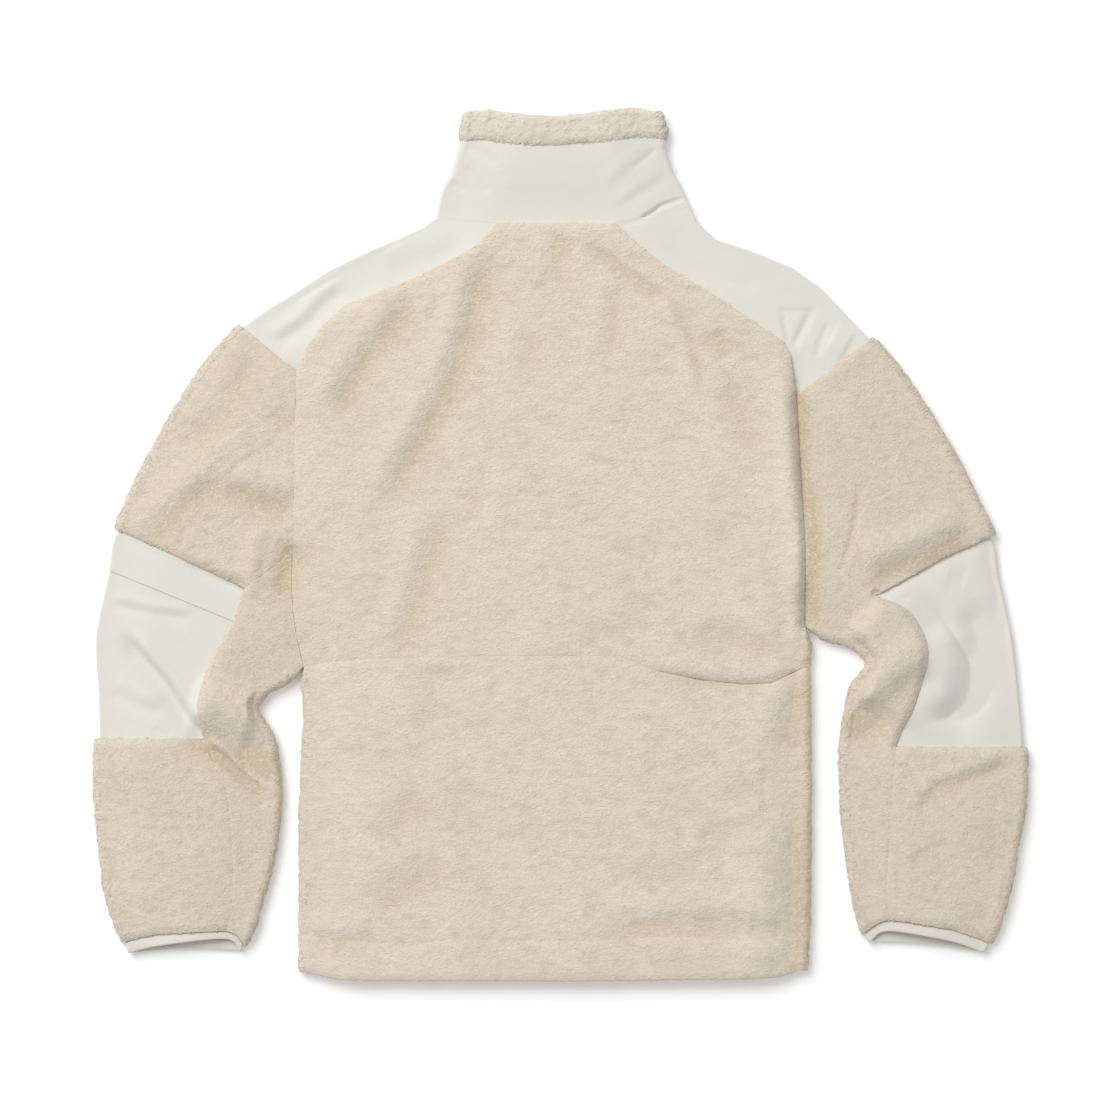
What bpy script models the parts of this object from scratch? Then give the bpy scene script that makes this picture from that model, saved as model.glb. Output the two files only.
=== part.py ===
"""Sherpa fleece pullover, laid flat with its back up.

The garment rests on z = 0. +X is the wearer's right sleeve side as seen from above with the
collar at +Y, and +Z points up, out of the back. All tables are in millimetres.

Every piece is a wall between its backing (the smooth inner face of the cloth) and its outer face.
The backing of neighbouring pieces is one surface: a flattened tube whose two sheets lie
LAYER_GAP apart and turn round into each other along the folded edges.
"""
import math

import bmesh
import bpy
import numpy as np

MM = 0.001

# Cloth
SHERPA = 6.5            # pile with its knitted ground
SHELL = 1.2             # smooth woven shell
BINDING = 2.4           # folded binding at the cuffs
BINDING_EDGE = 0.6      # share of its thickness at its two edges
LINING = 4.5            # sherpa inside the collar
BAND_PROUD = 3.4        # how far the collar's sherpa band stands over the backing
WELT = 1.1              # doubled shell of the pocket welt
LAYER_GAP = 1.6         # between the backings of two layers that lie on each other
SEAM_GAP = 0.3          # between two pieces at their seam

# Relief of the upper layer
CROWN = 4.5             # how far it rises from its folded edges
CROWN_REACH = 50.0
SEAM_PINCH = 0.6        # share of the pile that is drawn down into a deep seam
SEAM_REACH = 8.0
FOLD_EDGE = 5.0         # the folds run out this far from a folded edge
LOWEST_LIFT = -1.0
UNDERARM_REACH = 0.05   # how far a folded edge reaches out at the underarm point itself
EASE = 0.45             # and how much more for each millimetre from that point

# Collar
COLLAR_GAP = 10.6       # between the backings of its two halves
COLLAR_BED = 3.6        # height of the lower half's backing
COLLAR_RISE = 0.8       # share of the collar's height over which it fills out
BAND_START = 0.74       # share of the collar's height where the sherpa band starts
COLLAR_CORNERS = (0.25, 0.75)   # shares of the collar's width where its neck seam turns
LINING_START = 0.1
COLLAR_ROWS = (0.2, 0.32, 0.53)         # shares of its height between the lining's start and the band
COLLAR_SIDE = 0.12                      # share of its width, beside a folded side
COLLAR_FRONT = (0.5, 0.4, 0.25, COLLAR_SIDE, 0)
COLLAR_BACK = (0, COLLAR_SIDE, 0.25, 0.35, 0.45, 0.55, 0.65, 0.75, 1 - COLLAR_SIDE, 1)
BAND_GAP = 0.004        # share of the height between the shell and the band
BAND = (
    # share of the collar's height, distance outside the backing, and inside it
    (BAND_START + BAND_GAP, 0.5 * BAND_PROUD, LINING),
    (BAND_START + 0.05, BAND_PROUD, LINING),
    (0.87, BAND_PROUD, LINING),
    (0.96, 0.8 * BAND_PROUD, LINING),
    (1.0, -0.1 * BAND_PROUD, 0.75 * LINING),
)

# Centre-front neck slit
SLIT_LENGTH_ROWS = 9
SLIT_HALF_WIDTH = 0.5

# Sleeves: one section in each row, with where it crosses the outer fold, the crest of the
# sleeve, the seam of the undersleeve, and the inner fold.
SLEEVE_COLUMNS = ("section", "outer", "crest", "seam", "inner")
LEFT_SLEEVE = (
    ("cap",         (-290, 198), (-242, 158), (-245, -3), (-235, -113)),
    ("upper arm",   (-324, 160), (-286, 115), (-257, -16), (-241, -117)),
    ("above elbow", (-365, 94), (-331, 58), (-273, -29), (-249, -120)),
    ("elbow top",   (-404, 12), (-365, -5), (-289, -41), (-257, -125)),
    ("pocket line", (-412, -25), (-377, -39), (-299, -71), (-269, -131)),
    ("elbow",       (-424, -84), (-391, -93), (-319, -107), (-280, -141)),
    ("below elbow", (-422, -136), (-392, -138), (-331, -142), (-282, -153)),
    ("elbow foot",  (-421, -179), (-390, -179), (-327, -179), (-268, -181)),
    ("forearm",     (-422, -226), (-384, -226), (-307, -226), (-262, -224)),
    ("lower arm",   (-417, -279), (-378, -279), (-301, -279), (-267, -279)),
    ("wrist",       (-412, -324), (-375, -325), (-301, -327), (-279, -329)),
    ("cuff top",    (-397, -365), (-369, -359), (-306, -356), (-292, -366)),
    ("cuff edge",   (-394, -376), (-366, -369), (-308, -363), (-295, -373)),
)
RIGHT_SLEEVE = (
    ("cap",         (284, 187), (218, 136), (226, -1), (226, -76)),
    ("upper arm",   (315, 149), (276, 103), (247, -16), (238, -80)),
    ("above elbow", (356, 84), (320, 52), (269, -31), (253, -84)),
    ("elbow top",   (395, 6), (356, -11), (291, -47), (268, -89)),
    ("elbow fold",  (402, -30), (373, -42), (321, -62), (281, -97)),
    ("elbow",       (414, -84), (388, -88), (338, -97), (287, -111)),
    ("below elbow", (421, -146), (390, -145), (328, -144), (273, -135)),
    ("elbow foot",  (424, -187), (387, -187), (310, -186), (264, -185)),
    ("forearm",     (423, -234), (385, -234), (305, -235), (265, -235)),
    ("lower arm",   (416, -278), (379, -279), (302, -279), (269, -281)),
    ("wrist",       (408, -321), (374, -324), (300, -321), (276, -327)),
    ("cuff top",    (393, -366), (362, -355), (303, -346), (283, -356)),
    ("cuff edge",   (387, -375), (359, -365), (303, -356), (287, -365)),
)
ELBOW_TOP, POCKET_LINE, ELBOW_FOOT, WRIST, CUFF_TOP, CUFF_EDGE = 3, 4, 7, 10, 11, 12
OUTER, CREST, SEAM, INNER = 0, 1, 2, 3
LEFT_ARMHOLE_BOW = -5.0     # how far the lower armhole curves out, halfway along
RIGHT_ARMHOLE_BOW = 0.0
UNDER_CUFF_BOW = 2.2        # how far the edge of the cuff's lower layer curves in, halfway along

# Yokes: the back seam and the shoulder fold, from the neck to the cap of the sleeve
LEFT_YOKE = (
    # back seam      shoulder fold
    ((-58, 295), (-111, 300)),
    ((-69, 281), (-123, 291)),
    ((-89, 267), (-142, 282)),
    ((-123, 249), (-173, 269)),
    ((-162, 233), (-210, 251)),
    ((-196, 220), (-238, 233)),
    ((-219, 200), (-264, 217)),
    ((-233, 181), (-277, 208)),
    ((-242, 158), (-290, 198)),
)
RIGHT_YOKE = (
    ((51, 295), (118, 310)),
    ((66, 279), (125, 295)),
    ((90, 261), (141, 280)),
    ((120, 242), (174, 269)),
    ((154, 221), (211, 254)),
    ((184, 200), (238, 235)),
    ((204, 187), (259, 213)),
    ((212, 173), (273, 198)),
    ((218, 136), (284, 187)),
)

# Body: sides from the underarm to the hem, and the lines that cross it
LEFT_SIDE = ((-235, -113), (-230, -135), (-229, -162), (-233, -245), (-233, -359), (-234, -394))
RIGHT_SIDE = ((226, -76), (224, -114), (225, -200), (225, -300), (224, -357), (222, -392))
BACK_SEAM = ((-235, -113), (-211, -108), (-171, -105), (-100, -103), (0, -102), (55, -103),
             (92, -117), (130, -125), (168, -129), (194, -128), (224, -114))
HEM_STITCH = ((-233, -359), (-210, -363), (-134, -368), (-113, -364), (29, -364), (111, -360),
              (174, -364), (224, -357))
HEM = ((-234, -394), (-211, -399), (-192, -401), (9, -402), (175, -400), (203, -398), (222, -392))

# Collar: its two folded sides from the neck seam up, and its top edge
COLLAR_LEFT = ((-111, 300), (-108, 316), (-103, 329), (-95, 340), (-88, 362), (-84, 374), (-80, 398))
COLLAR_RIGHT = ((118, 310), (114, 318), (109, 329), (101, 340), (92, 362), (92, 375), (87, 398))
COLLAR_TOP = ((-80, 398), (-64, 399), (-45, 396), (-27, 394), (0, 393), (28, 396), (46, 399), (70, 401),
              (87, 398))

# Ridges and hollows of the upper layer: place, half widths on the left and the right of the
# path, height, path
FOLDS = (
    ("right of the neck",   (9, 14),      -3.6, ((25, 278), (32, 270), (48, 262), (58, 252), (73, 242),
                                                 (84, 232), (100, 219))),
    ("right blade, upper",  (10, 10),     -2.1, ((142, 198), (147, 185), (156, 168))),
    ("right blade",         (12.5, 12.5), -1.3, ((150, 150), (165, 120), (180, 85))),
    ("waist, right end",    (6, 6),       -1.3, ((200, -76), (213, -75))),
    ("right hem, end",      (11, 11),     -1.8, ((172, -351), (206, -357))),
    ("left sleeve mound",   (19.5, 19.5),  1.7, ((-306, 100), (-288, 76))),
    ("left armhole, upper", (11, 11),     -1.3, ((-262, 125), (-245, 105))),
    ("left underarm",       (14, 14),     -3.1, ((-247, 6), (-256, -22), (-258, -50))),
    ("left elbow",          (5.5, 7),     -3.6, ((-402, -78), (-385, -100), (-372, -115), (-360, -130),
                                                 (-350, -145), (-340, -160), (-328, -172), (-316, -186))),
    ("right elbow",         (7, 16),      -2.6, ((328, -38), (345, -58), (358, -75), (368, -92),
                                                 (378, -108), (385, -122), (388, -132), (387, -143),
                                                 (380, -152), (365, -158), (345, -162), (322, -165))),
    ("right elbow rim",     (6, 6),        1.0, ((288, -52), (316, -64), (332, -88), (334, -104))),
    ("right patch, top",    (11, 11),     -1.1, ((356, -30), (374, -34))),
    ("right yoke",          (12.5, 12.5), -1.7, ((92, 276), (120, 255), (150, 243), (188, 236))),
    ("right yoke bulge",    (14, 14),      1.8, ((248, 190), (266, 180))),
    ("left elbow bunch",    (14, 34),      7.5, ((-340, -136), (-312, -144), (-290, -150), (-272, -156))),
    ("right elbow bunch",   (46, 9),      12.5, ((266, -68), (286, -86), (298, -106), (290, -130),
                                                 (277, -156))),
    ("left cuff mouth",     (8, 8),        2.2, ((-390, -378), (-350, -368), (-316, -364), (-292, -376))),
    ("right cuff mouth",    (8, 8),        2.2, ((384, -378), (350, -364), (306, -358), (284, -368))),
)

# Tucks of the upper layer, which stands high on the left of the path and sinks on its right:
# place, half width, drop, path
TUCKS = (
    ("neck to left side",      16,     4.9, ((-164, 20), (-162, 40), (-156, 60), (-147, 80), (-132, 100),
                                             (-122, 120), (-110, 140), (-103, 160), (-97, 180), (-90, 200),
                                             (-86, 220), (-82, 240), (-76, 258), (-50, 277))),
    ("left shoulder",          16,     4.8, ((-212, 110), (-205, 140), (-195, 155), (-185, 172),
                                             (-170, 190), (-158, 205), (-150, 220), (-142, 238))),
    ("left blade",             8,      1.4, ((-126, 205), (-112, 230))),
    ("left flank",             16,     3.3, ((-160, -104), (-155, -90), (-145, -70), (-137, -50),
                                             (-132, -30), (-125, -10), (-122, 10), (-113, 36))),
    ("left flank, outer",      19,     1.4, ((-184, -80), (-166, -22))),
    ("middle, left",           14.5,   1.5, ((-62, 66), (-72, 12))),
    ("under the neck",         14.5,   1.5, ((-12, 234), (-8, 292))),
    ("spine",                  13,     1.2, ((-42, 160), (-29, 202))),
    ("right of the neck, low", 7,      2.2, ((129, 136), (122, 165), (120, 178), (115, 192), (107, 207),
                                             (102, 224))),
    ("spine, right",           13,     1.7, ((34, 166), (45, 200), (46, 244))),
    ("at the neck",            5,      1.4, ((-4, 284), (18, 276))),
    ("by the right yoke",      4.5,    1.4, ((114, 236), (138, 231))),
    ("right armhole",          11,     7.5, ((224, -104), (225, -80), (224, -60), (223, -45), (226, -25),
                                             (227, 0), (224, 20), (221, 40), (217, 60), (216, 90),
                                             (214, 120), (212, 140), (209, 178))),
    ("waist roll",             9,      2.8, ((78, -108), (92, -114), (110, -119), (130, -122), (150, -124),
                                             (175, -126), (195, -124), (207, -119), (230, -114))),
    ("above the roll",         14.5,   2.7, ((120, -74), (150, -75), (170, -78), (185, -87), (206, -95))),
    ("waist, middle",          14.5,   1.4, ((14, -82), (60, -68), (84, -60))),
    ("waist, left",            9,      1.4, ((-138, -117), (-94, -112))),
    ("right hem",              14.5,   3.3, ((30, -346), (60, -346), (100, -342), (140, -341), (170, -343),
                                             (214, -354))),
    ("left hem",               13,     2.2, ((-232, -357), (-205, -359), (-168, -356))),
    ("right side, low",        26,     5.4, ((203, -408), (204, -330), (208, -236))),
    ("right side, high",       18,     4.0, ((200, -192), (208, -150), (214, -118))),
    ("lower right, upper",     14.5,   1.7, ((146, -218), (194, -212))),
    ("lower right, middle",    14.5,   1.7, ((116, -270), (155, -258), (194, -250))),
    ("lower right, lower",     14.5,   1.4, ((56, -300), (90, -293), (140, -284))),
    ("lower left, upper",      17.5,   1.5, ((-142, -206), (-132, -160), (-124, -126))),
    ("lower left, middle",     22,     2.4, ((-174, -272), (-150, -240), (-138, -220))),
    ("lower left, lower",      22,     2.6, ((-178, -334), (-150, -302), (-118, -288), (-100, -283))),
    ("left cap",               14.5,   2.6, ((-348, 92), (-330, 115), (-315, 130), (-305, 145),
                                             (-298, 160), (-290, 172), (-268, 177))),
    ("left arm, outer",        14.5,   4.2, ((-384, 2), (-370, 20), (-360, 30), (-345, 45), (-330, 55),
                                             (-304, 68))),
    ("left arm, inner",        14.5,   5.4, ((-306, 62), (-280, 50), (-262, 45), (-238, 41))),
    ("left underarm, edge",    13,     3.0, ((-264, -60), (-257, -30), (-247, 8))),
    ("above the left patch",   8,      2.4, ((-336, -12), (-310, -28), (-280, -36))),
    ("under the pocket",       6.5,    2.2, ((-414, -51), (-385, -58), (-360, -62), (-334, -66))),
    ("left elbow",             10,     5.5, ((-402, -78), (-385, -100), (-372, -115), (-360, -130),
                                             (-350, -145), (-340, -160), (-328, -172), (-316, -186))),
    ("left elbow, low",        9,      2.0, ((-414, -128), (-385, -145), (-360, -150))),
    ("left undersleeve",       24,     9.0, ((-344, -154), (-314, -166), (-288, -178), (-244, -196))),
    ("left forearm",           6,      4.6, ((-328, -178), (-305, -197), (-295, -208), (-283, -218),
                                             (-262, -234))),
    ("right arm",              17,     6.6, ((276, -31), (296, -18), (312, -12), (328, -6), (348, 4),
                                             (382, 19))),
    ("right patch, outer",     13,     2.5, ((406, -92), (400, -50), (395, -20), (386, 14))),
    ("right undersleeve",      20,     9.0, ((248, -166), (272, -150), (300, -134), (324, -118),
                                             (350, -104))),
    ("right elbow",            25,     9.0, ((340, -168), (361, -143), (372, -113), (370, -85),
                                             (356, -62))),
    ("right forearm",          9,      3.2, ((322, -252), (335, -230), (345, -220), (365, -214),
                                             (385, -206), (400, -200), (420, -194))),
    ("right forearm, low",     8,      1.5, ((316, -293), (354, -265))),
    ("right wrist",            8,      2.1, ((407, -356), (410, -325), (413, -292))),
    ("left yoke",              9,      3.3, ((-272, 186), (-255, 193), (-243, 200), (-233, 208),
                                             (-222, 221), (-212, 230), (-192, 239))),
    ("left yoke, inner",       13,     2.0, ((-166, 255), (-140, 263), (-120, 269), (-88, 281))),
    ("collar, right, upper",   8,      0.9, ((42, 326), (60, 345), (88, 366))),
    ("collar, right, lower",   6.5,    0.9, ((48, 308), (75, 327), (101, 343))),
)
FOLD_RUNOUT = 0.2       # share of a fold's length over which each end fades
DROP_TO_SLOPE = 1.17    # slope of a tuck of half width 1 and drop 1

# Sampling of the walls
FOLD_ANGLES = (45, 0, -45)
UP, DOWN = 90, -90
ARMHOLE_STEPS = {"left": (8, 4, 0), "right": (7, 3, 2)}     # above seam, below it, along the side
CREST_STEPS = 6         # across a sleeve, from its crest to the undersleeve's seam
CAP_STEPS = 3           # across a sleeve, from its crest to its outer fold
BACK_STEPS = 20
FRONT_STEPS = 4
LOWER_STEPS = 8
SIDE_TURN = 2           # angle at which the back and the front meet in a side seam
BESIDE_SEAM = 0.07      # columns of a sleeve beside the undersleeve's seam
BESIDE_ELBOW = 0.1      # rows of the elbow beside its seams
HEM_BEND = (1.17, 1.8)  # rows where the hem turns, between its stitching (1) and its edge (2)
EDGE_SHARE = 0.014      # of the body's width, for the columns beside its seams
EDGE_ROW = 0.3          # of a row, for the rows beside a seam
HEM_ROW = 0.03          # of the lower back's height, for the rows beside its seam and its stitching

COLOURS = {
    "sherpa": ((0.69, 0.62, 0.50), 0.95),
    "shell": ((0.77, 0.74, 0.68), 0.62),
    "binding": ((0.65, 0.59, 0.50), 0.75),
}


def lerp(start, end, share):
    return np.asarray(start, float) * (1 - share) + np.asarray(end, float) * share


def unit(vector):
    return vector / np.linalg.norm(vector)


def smooth(share):
    share = np.clip(share, 0.0, 1.0)
    return share * share * (3 - 2 * share)


def polyline(points):
    """Point at a whole or fractional index along the points."""
    points = np.asarray(points, float)
    index = np.arange(len(points))
    return lambda place: np.array([np.interp(place, index, points[:, k]) for k in (0, 1)])


def by_length(points):
    """Point at a share of the length along the points."""
    points = np.asarray(points, float)
    steps = np.linalg.norm(np.diff(points, axis=0), axis=1)
    length = np.concatenate(([0.0], np.cumsum(steps))) / steps.sum()
    return lambda share: np.array([np.interp(share, length, points[:, k]) for k in (0, 1)])


def spline(points):
    """Catmull-Rom curve through the points, by index."""
    points = np.asarray(points, float)
    last = len(points) - 1

    def at(place):
        i = min(int(place), last - 1)
        t = place - i
        a, b = points[max(i - 1, 0)], points[i]
        c, d = points[i + 1], points[min(i + 2, last)]
        bend = (2 * a - 5 * b + 4 * c - d) * t + (3 * b - a - 3 * c + d) * t * t
        return b + 0.5 * t * (c - a + bend)

    return at


def nearest(places, path):
    """Distance from each place to the path, positive on its left, and the share of its length there."""
    path = np.asarray(path, float)
    start, step = path[:-1], np.diff(path, axis=0)
    size = np.linalg.norm(step, axis=1)
    offset = places[:, None, :] - start
    share = np.clip((offset * step).sum(-1) / size ** 2, 0.0, 1.0)
    distance = np.linalg.norm(offset - share[..., None] * step, axis=-1)
    best = distance.argmin(axis=1)
    rows = np.arange(len(places))
    way, offset = step[best], offset[rows, best]
    side = np.where(way[:, 0] * offset[:, 1] > way[:, 1] * offset[:, 0], 1.0, -1.0)
    passed = np.concatenate(([0.0], np.cumsum(size)))[best] + share[rows, best] * size[best]
    return side * distance[rows, best], passed / size.sum()


def column(table, index):
    return [row[index] for row in table]


def rounded(corners, part, t):
    """Place on the curve through a section's corners, which has no kinks."""
    before, low, high, after = (corners[min(max(part + k, OUTER), INNER)] for k in (-1, 0, 1, 2))
    bend = (2 * before - 5 * low + 4 * high - after) * t + (3 * low - before - 3 * high + after) * t * t
    return low + 0.5 * t * (high - before + bend)


def sleeve(table, bow):
    """Plan of a sleeve: place s along it and c across it, on the upper or the lower layer."""
    lines = [spline(column(table, SLEEVE_COLUMNS.index(name))) for name in SLEEVE_COLUMNS[1:]]

    def plan(s, c, angle=UP):
        corners = [line(s) for line in lines]
        part = min(int(c), INNER - 1)
        share = c - part
        xy = lerp(lerp(corners[part], corners[part + 1], share), rounded(corners, part, share),
                  float(smooth(s - WRIST)))
        if part == SEAM:
            xy = xy + np.array([4 * share * (1 - share) * bow * max(0.0, 1 - s / ELBOW_TOP), 0.0])
        if angle == DOWN and s > WRIST:
            straight = lerp(corners[OUTER], corners[INNER], c / INNER)
            curve = np.array([0.0, UNDER_CUFF_BOW * min(1.0, c, INNER - c)])
            xy = lerp(xy, straight + curve, float(smooth(s - WRIST)))
        return xy

    def outward(s, c):
        """Direction in which the section runs over a folded edge."""
        inside = CREST if c == OUTER else SEAM + 0.5
        return unit(plan(s, c) - plan(s, inside))

    return plan, outward


def yoke(table):
    """Plan of a yoke: place s from the neck to the cap, c from the back seam to the shoulder."""
    seam, shoulder = polyline(column(table, 0)), polyline(column(table, 1))

    def plan(s, c, angle=UP):
        return lerp(seam(s), shoulder(s), c)

    def outward(s, c):
        return unit(shoulder(s) - seam(s))

    return plan, outward


def patch(left, right, near, far, rows, sharpness=3.0):
    """Plan of a body panel between two sides and two cross lines; s runs over rows, c over 0..1."""
    def plan(s, c, angle=UP):
        share = (s / rows) ** sharpness
        bow_near = near(c) - lerp(near(0), near(1), c)
        bow_far = far(c) - lerp(far(0), far(1), c)
        return lerp(left(s), right(s), c) + bow_near * (1 - share) + bow_far * share

    def outward(s, c):
        return np.array([-1.0 if c < 0.5 else 1.0, 0.0])

    return plan, outward


def body_side(side, yoke_table, sleeve_plan, edge, seam_place):
    """Side of the back above its seam: along the yoke, down the armhole and on down the edge."""
    above, below, beside = ARMHOLE_STEPS[side]
    points = [np.array(row[0], float) for row in yoke_table]
    points += [sleeve_plan(0, CREST + (k + 1) / above) for k in range(above)]
    points += [sleeve_plan(0, SEAM + (k + 1) / below) for k in range(below)]
    start, end = np.array(edge[0], float), np.array(seam_place, float)
    points += [lerp(start, end, (k + 1) / beside) for k in range(beside)]
    return points


LEFT_PLAN, LEFT_OUTWARD = sleeve(LEFT_SLEEVE, LEFT_ARMHOLE_BOW)
RIGHT_PLAN, RIGHT_OUTWARD = sleeve(RIGHT_SLEEVE, RIGHT_ARMHOLE_BOW)
LEFT_BACK = body_side("left", LEFT_YOKE, LEFT_PLAN, LEFT_SIDE, BACK_SEAM[0])
RIGHT_BACK = body_side("right", RIGHT_YOKE, RIGHT_PLAN, RIGHT_SIDE, BACK_SEAM[-1])
BACK_ROWS = len(LEFT_BACK) - 1
LEFT_UNDERARM_ROW = BACK_ROWS
RIGHT_UNDERARM_ROW = BACK_ROWS - ARMHOLE_STEPS["right"][2]
NECK_LINE = (LEFT_YOKE[0][0], RIGHT_YOKE[0][0])

SLEEVE_ROWS = np.linspace(0, CUFF_EDGE, 40)
PATCH_ROWS = np.linspace(ELBOW_TOP, ELBOW_FOOT, 14)
SILHOUETTE = (
    [LEFT_PLAN(s, OUTER) for s in SLEEVE_ROWS],
    [LEFT_PLAN(s, INNER) for s in SLEEVE_ROWS],
    [RIGHT_PLAN(s, OUTER) for s in SLEEVE_ROWS],
    [RIGHT_PLAN(s, INNER) for s in SLEEVE_ROWS],
    column(LEFT_YOKE, 1) + list(COLLAR_LEFT),
    column(RIGHT_YOKE, 1) + list(COLLAR_RIGHT),
    LEFT_SIDE,
    RIGHT_SIDE,
)
YOKE_ROWS = len(LEFT_YOKE)

# Seams of the pile, and how deeply each is drawn in
SEAMS = (
    (LEFT_BACK[:YOKE_ROWS], 0.2),
    (LEFT_BACK[YOKE_ROWS - 1:], 0.04),
    (RIGHT_BACK[:YOKE_ROWS], 0.2),
    (RIGHT_BACK[YOKE_ROWS - 1:RIGHT_UNDERARM_ROW + 1], 0.9),
    (NECK_LINE, 0.2),
    (BACK_SEAM[:3], 0.12),
    (BACK_SEAM[2:7], 0.04),
    (BACK_SEAM[6:], 0.2),
    (HEM, 0.3),
    ([LEFT_PLAN(s, SEAM) for s in SLEEVE_ROWS], 0.08),
    ([RIGHT_PLAN(s, SEAM) for s in SLEEVE_ROWS], 0.08),
    ([LEFT_PLAN(s, SEAM) for s in PATCH_ROWS], 0.25),
    ([RIGHT_PLAN(s, SEAM) for s in PATCH_ROWS], 0.9),
    (HEM_STITCH, 0.1),
) + tuple(
    ([plan(s, c) for c in cut], depth)
    for plan in (LEFT_PLAN, RIGHT_PLAN)
    for s, cut, depth in (
        (0, (OUTER, CREST), 0.2),
        (ELBOW_TOP, (OUTER, CREST, SEAM), 1.0),
        (ELBOW_FOOT, (OUTER, CREST, SEAM), 0.4),
        (CUFF_TOP, (OUTER, CREST, SEAM, INNER), 1.0),
    )
)


def fade(along):
    """How much of a fold is left towards its ends."""
    return smooth(along / FOLD_RUNOUT) * smooth((1 - along) / FOLD_RUNOUT)


def relief(places):
    """Height of the ridges and hollows, and of the tucks."""
    height = np.zeros(len(places))
    for _, widths, depth, path in FOLDS:
        away, along = nearest(places, path)
        width = np.where(away > 0, widths[0], widths[1])
        height += depth * np.exp(-(away / width) ** 2) * fade(along)
    for _, width, drop, path in TUCKS:
        away, along = nearest(places, path)
        height += DROP_TO_SLOPE * drop * away / width * np.exp(-(away / width) ** 2) * fade(along)
    return height


def lift(places):
    """Height of the upper layer's backing over its flat place."""
    edge = np.min([np.abs(nearest(places, line)[0]) for line in SILHOUETTE], axis=0)
    height = CROWN * smooth(edge / CROWN_REACH) + relief(places) * smooth(edge / FOLD_EDGE)
    return np.maximum(height, LOWEST_LIFT)


def pinch(places):
    """Share of the pile's height that is left beside the seams."""
    left = np.ones(len(places))
    for line, depth in SEAMS:
        away = np.abs(nearest(places, line)[0])
        left = np.minimum(left, 1 - SEAM_PINCH * depth * (1 - smooth(away / SEAM_REACH)))
    return left


def flat_level(s):
    """Height of the lower backing, and the distance up to the upper one."""
    return SHERPA, LAYER_GAP


def collar_level(s):
    rise = float(smooth(s / COLLAR_RISE))
    return (SHERPA + (COLLAR_BED - SHERPA) * rise, LAYER_GAP + (COLLAR_GAP - LAYER_GAP) * rise)


def underarm_ease(place, gap):
    """Share of its reach that a folded edge keeps beside the underarm points."""
    room = min(math.dist(place, LEFT_PLAN(0, INNER)), math.dist(place, RIGHT_PLAN(0, INNER)))
    return min(1.0, (UNDERARM_REACH + EASE * room) / (gap / 2 + SHERPA))


def wrap(shape, rows, columns, face, level=flat_level):
    """One face of a cloth as a grid of points.

    shape is a plan and its outward direction, each column is a place across it and the angle
    to which the cloth has turned round a folded edge (UP on the upper layer, DOWN on the
    lower), and face gives its distance outside the backing from the row, the angle and the
    share of pile left by the seams.
    """
    plan, outward = shape
    base = np.array([[plan(s, c, DOWN if angle == DOWN else UP) for c, angle in columns]
                     for s in rows])
    flat = base.reshape(-1, 2)
    rise = lift(flat).reshape(base.shape[:2])
    left = pinch(flat).reshape(base.shape[:2])
    grid = np.zeros(base.shape[:2] + (3,))
    for i, s in enumerate(rows):
        bed, gap = level(s)
        for j, (c, angle) in enumerate(columns):
            turn = math.radians(angle)
            up = math.sin(turn)
            reach = gap / 2 + face(s, angle, lerp(1.0, left[i, j], (1 + up) / 2))
            xy = base[i, j]
            if abs(angle) != UP:
                side = math.cos(turn) * underarm_ease(xy, gap)
                xy = xy + outward(s, c) * reach * side
            grid[i, j] = (*xy, bed + gap / 2 + reach * up + rise[i, j] * max(up, 0.0))
    return grid


def backing(s, angle, left):
    return 0.0


def sherpa(s, angle, left):
    return SHERPA * left


def shell(s, angle, left):
    return SHELL


def draw_back(grid, step=SEAM_GAP / 2):
    """Move the four edges of a grid in, towards the next row or column."""
    grid = grid.copy()
    for view in (grid, grid[::-1], grid.swapaxes(0, 1), grid.swapaxes(0, 1)[::-1]):
        way = view[1] - view[0]
        way[:, 2] = 0.0
        size = np.linalg.norm(way, axis=1, keepdims=True)
        view[0] += way / np.maximum(size, step) * step
    return grid


def material(name):
    colour, roughness = COLOURS[name]
    made = bpy.data.materials.new(name)
    made.use_nodes = True
    shader = made.node_tree.nodes["Principled BSDF"]
    shader.inputs["Base Color"].default_value = (*colour, 1.0)
    shader.inputs["Roughness"].default_value = roughness
    shader.inputs["Metallic"].default_value = 0.0
    return made


def wall(name, inner, outer, finish, cut=()):
    """A closed wall between two matching grids; cut lists the cells that are left out."""
    inner, outer = draw_back(inner) * MM, draw_back(outer) * MM
    rows, columns = inner.shape[:2]
    cells = {(i, j) for i in range(rows - 1) for j in range(columns - 1)} - set(cut)
    centre = (inner.reshape(-1, 3).mean(axis=0) + outer.reshape(-1, 3).mean(axis=0)) / 2
    bm = bmesh.new()
    verts = {}

    def vert(side, i, j):
        key = (side, i, j)
        if key not in verts:
            verts[key] = bm.verts.new((inner, outer)[side][i, j] - centre)
        return verts[key]

    for i, j in sorted(cells):
        ring = ((i, j), (i, j + 1), (i + 1, j + 1), (i + 1, j))
        for half in ((ring[0], ring[1], ring[2]), (ring[0], ring[2], ring[3])):
            bm.faces.new([vert(1, *corner) for corner in half])
            bm.faces.new([vert(0, *corner) for corner in reversed(half)])
        beyond = ((i - 1, j), (i, j + 1), (i + 1, j), (i, j - 1))
        for k, neighbour in enumerate(beyond):
            if neighbour not in cells:
                a, b = ring[k], ring[(k + 1) % 4]
                bm.faces.new([vert(1, *b), vert(1, *a), vert(0, *a), vert(0, *b)])
    bmesh.ops.recalc_face_normals(bm, faces=bm.faces)
    mesh = bpy.data.meshes.new(name)
    bm.to_mesh(mesh)
    bm.free()
    mesh.shade_smooth()
    mesh.set_sharp_from_angle(angle=math.radians(50))
    mesh.materials.append(finish)
    piece = bpy.data.objects.new(name, mesh)
    piece.location = centre
    return piece


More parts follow.
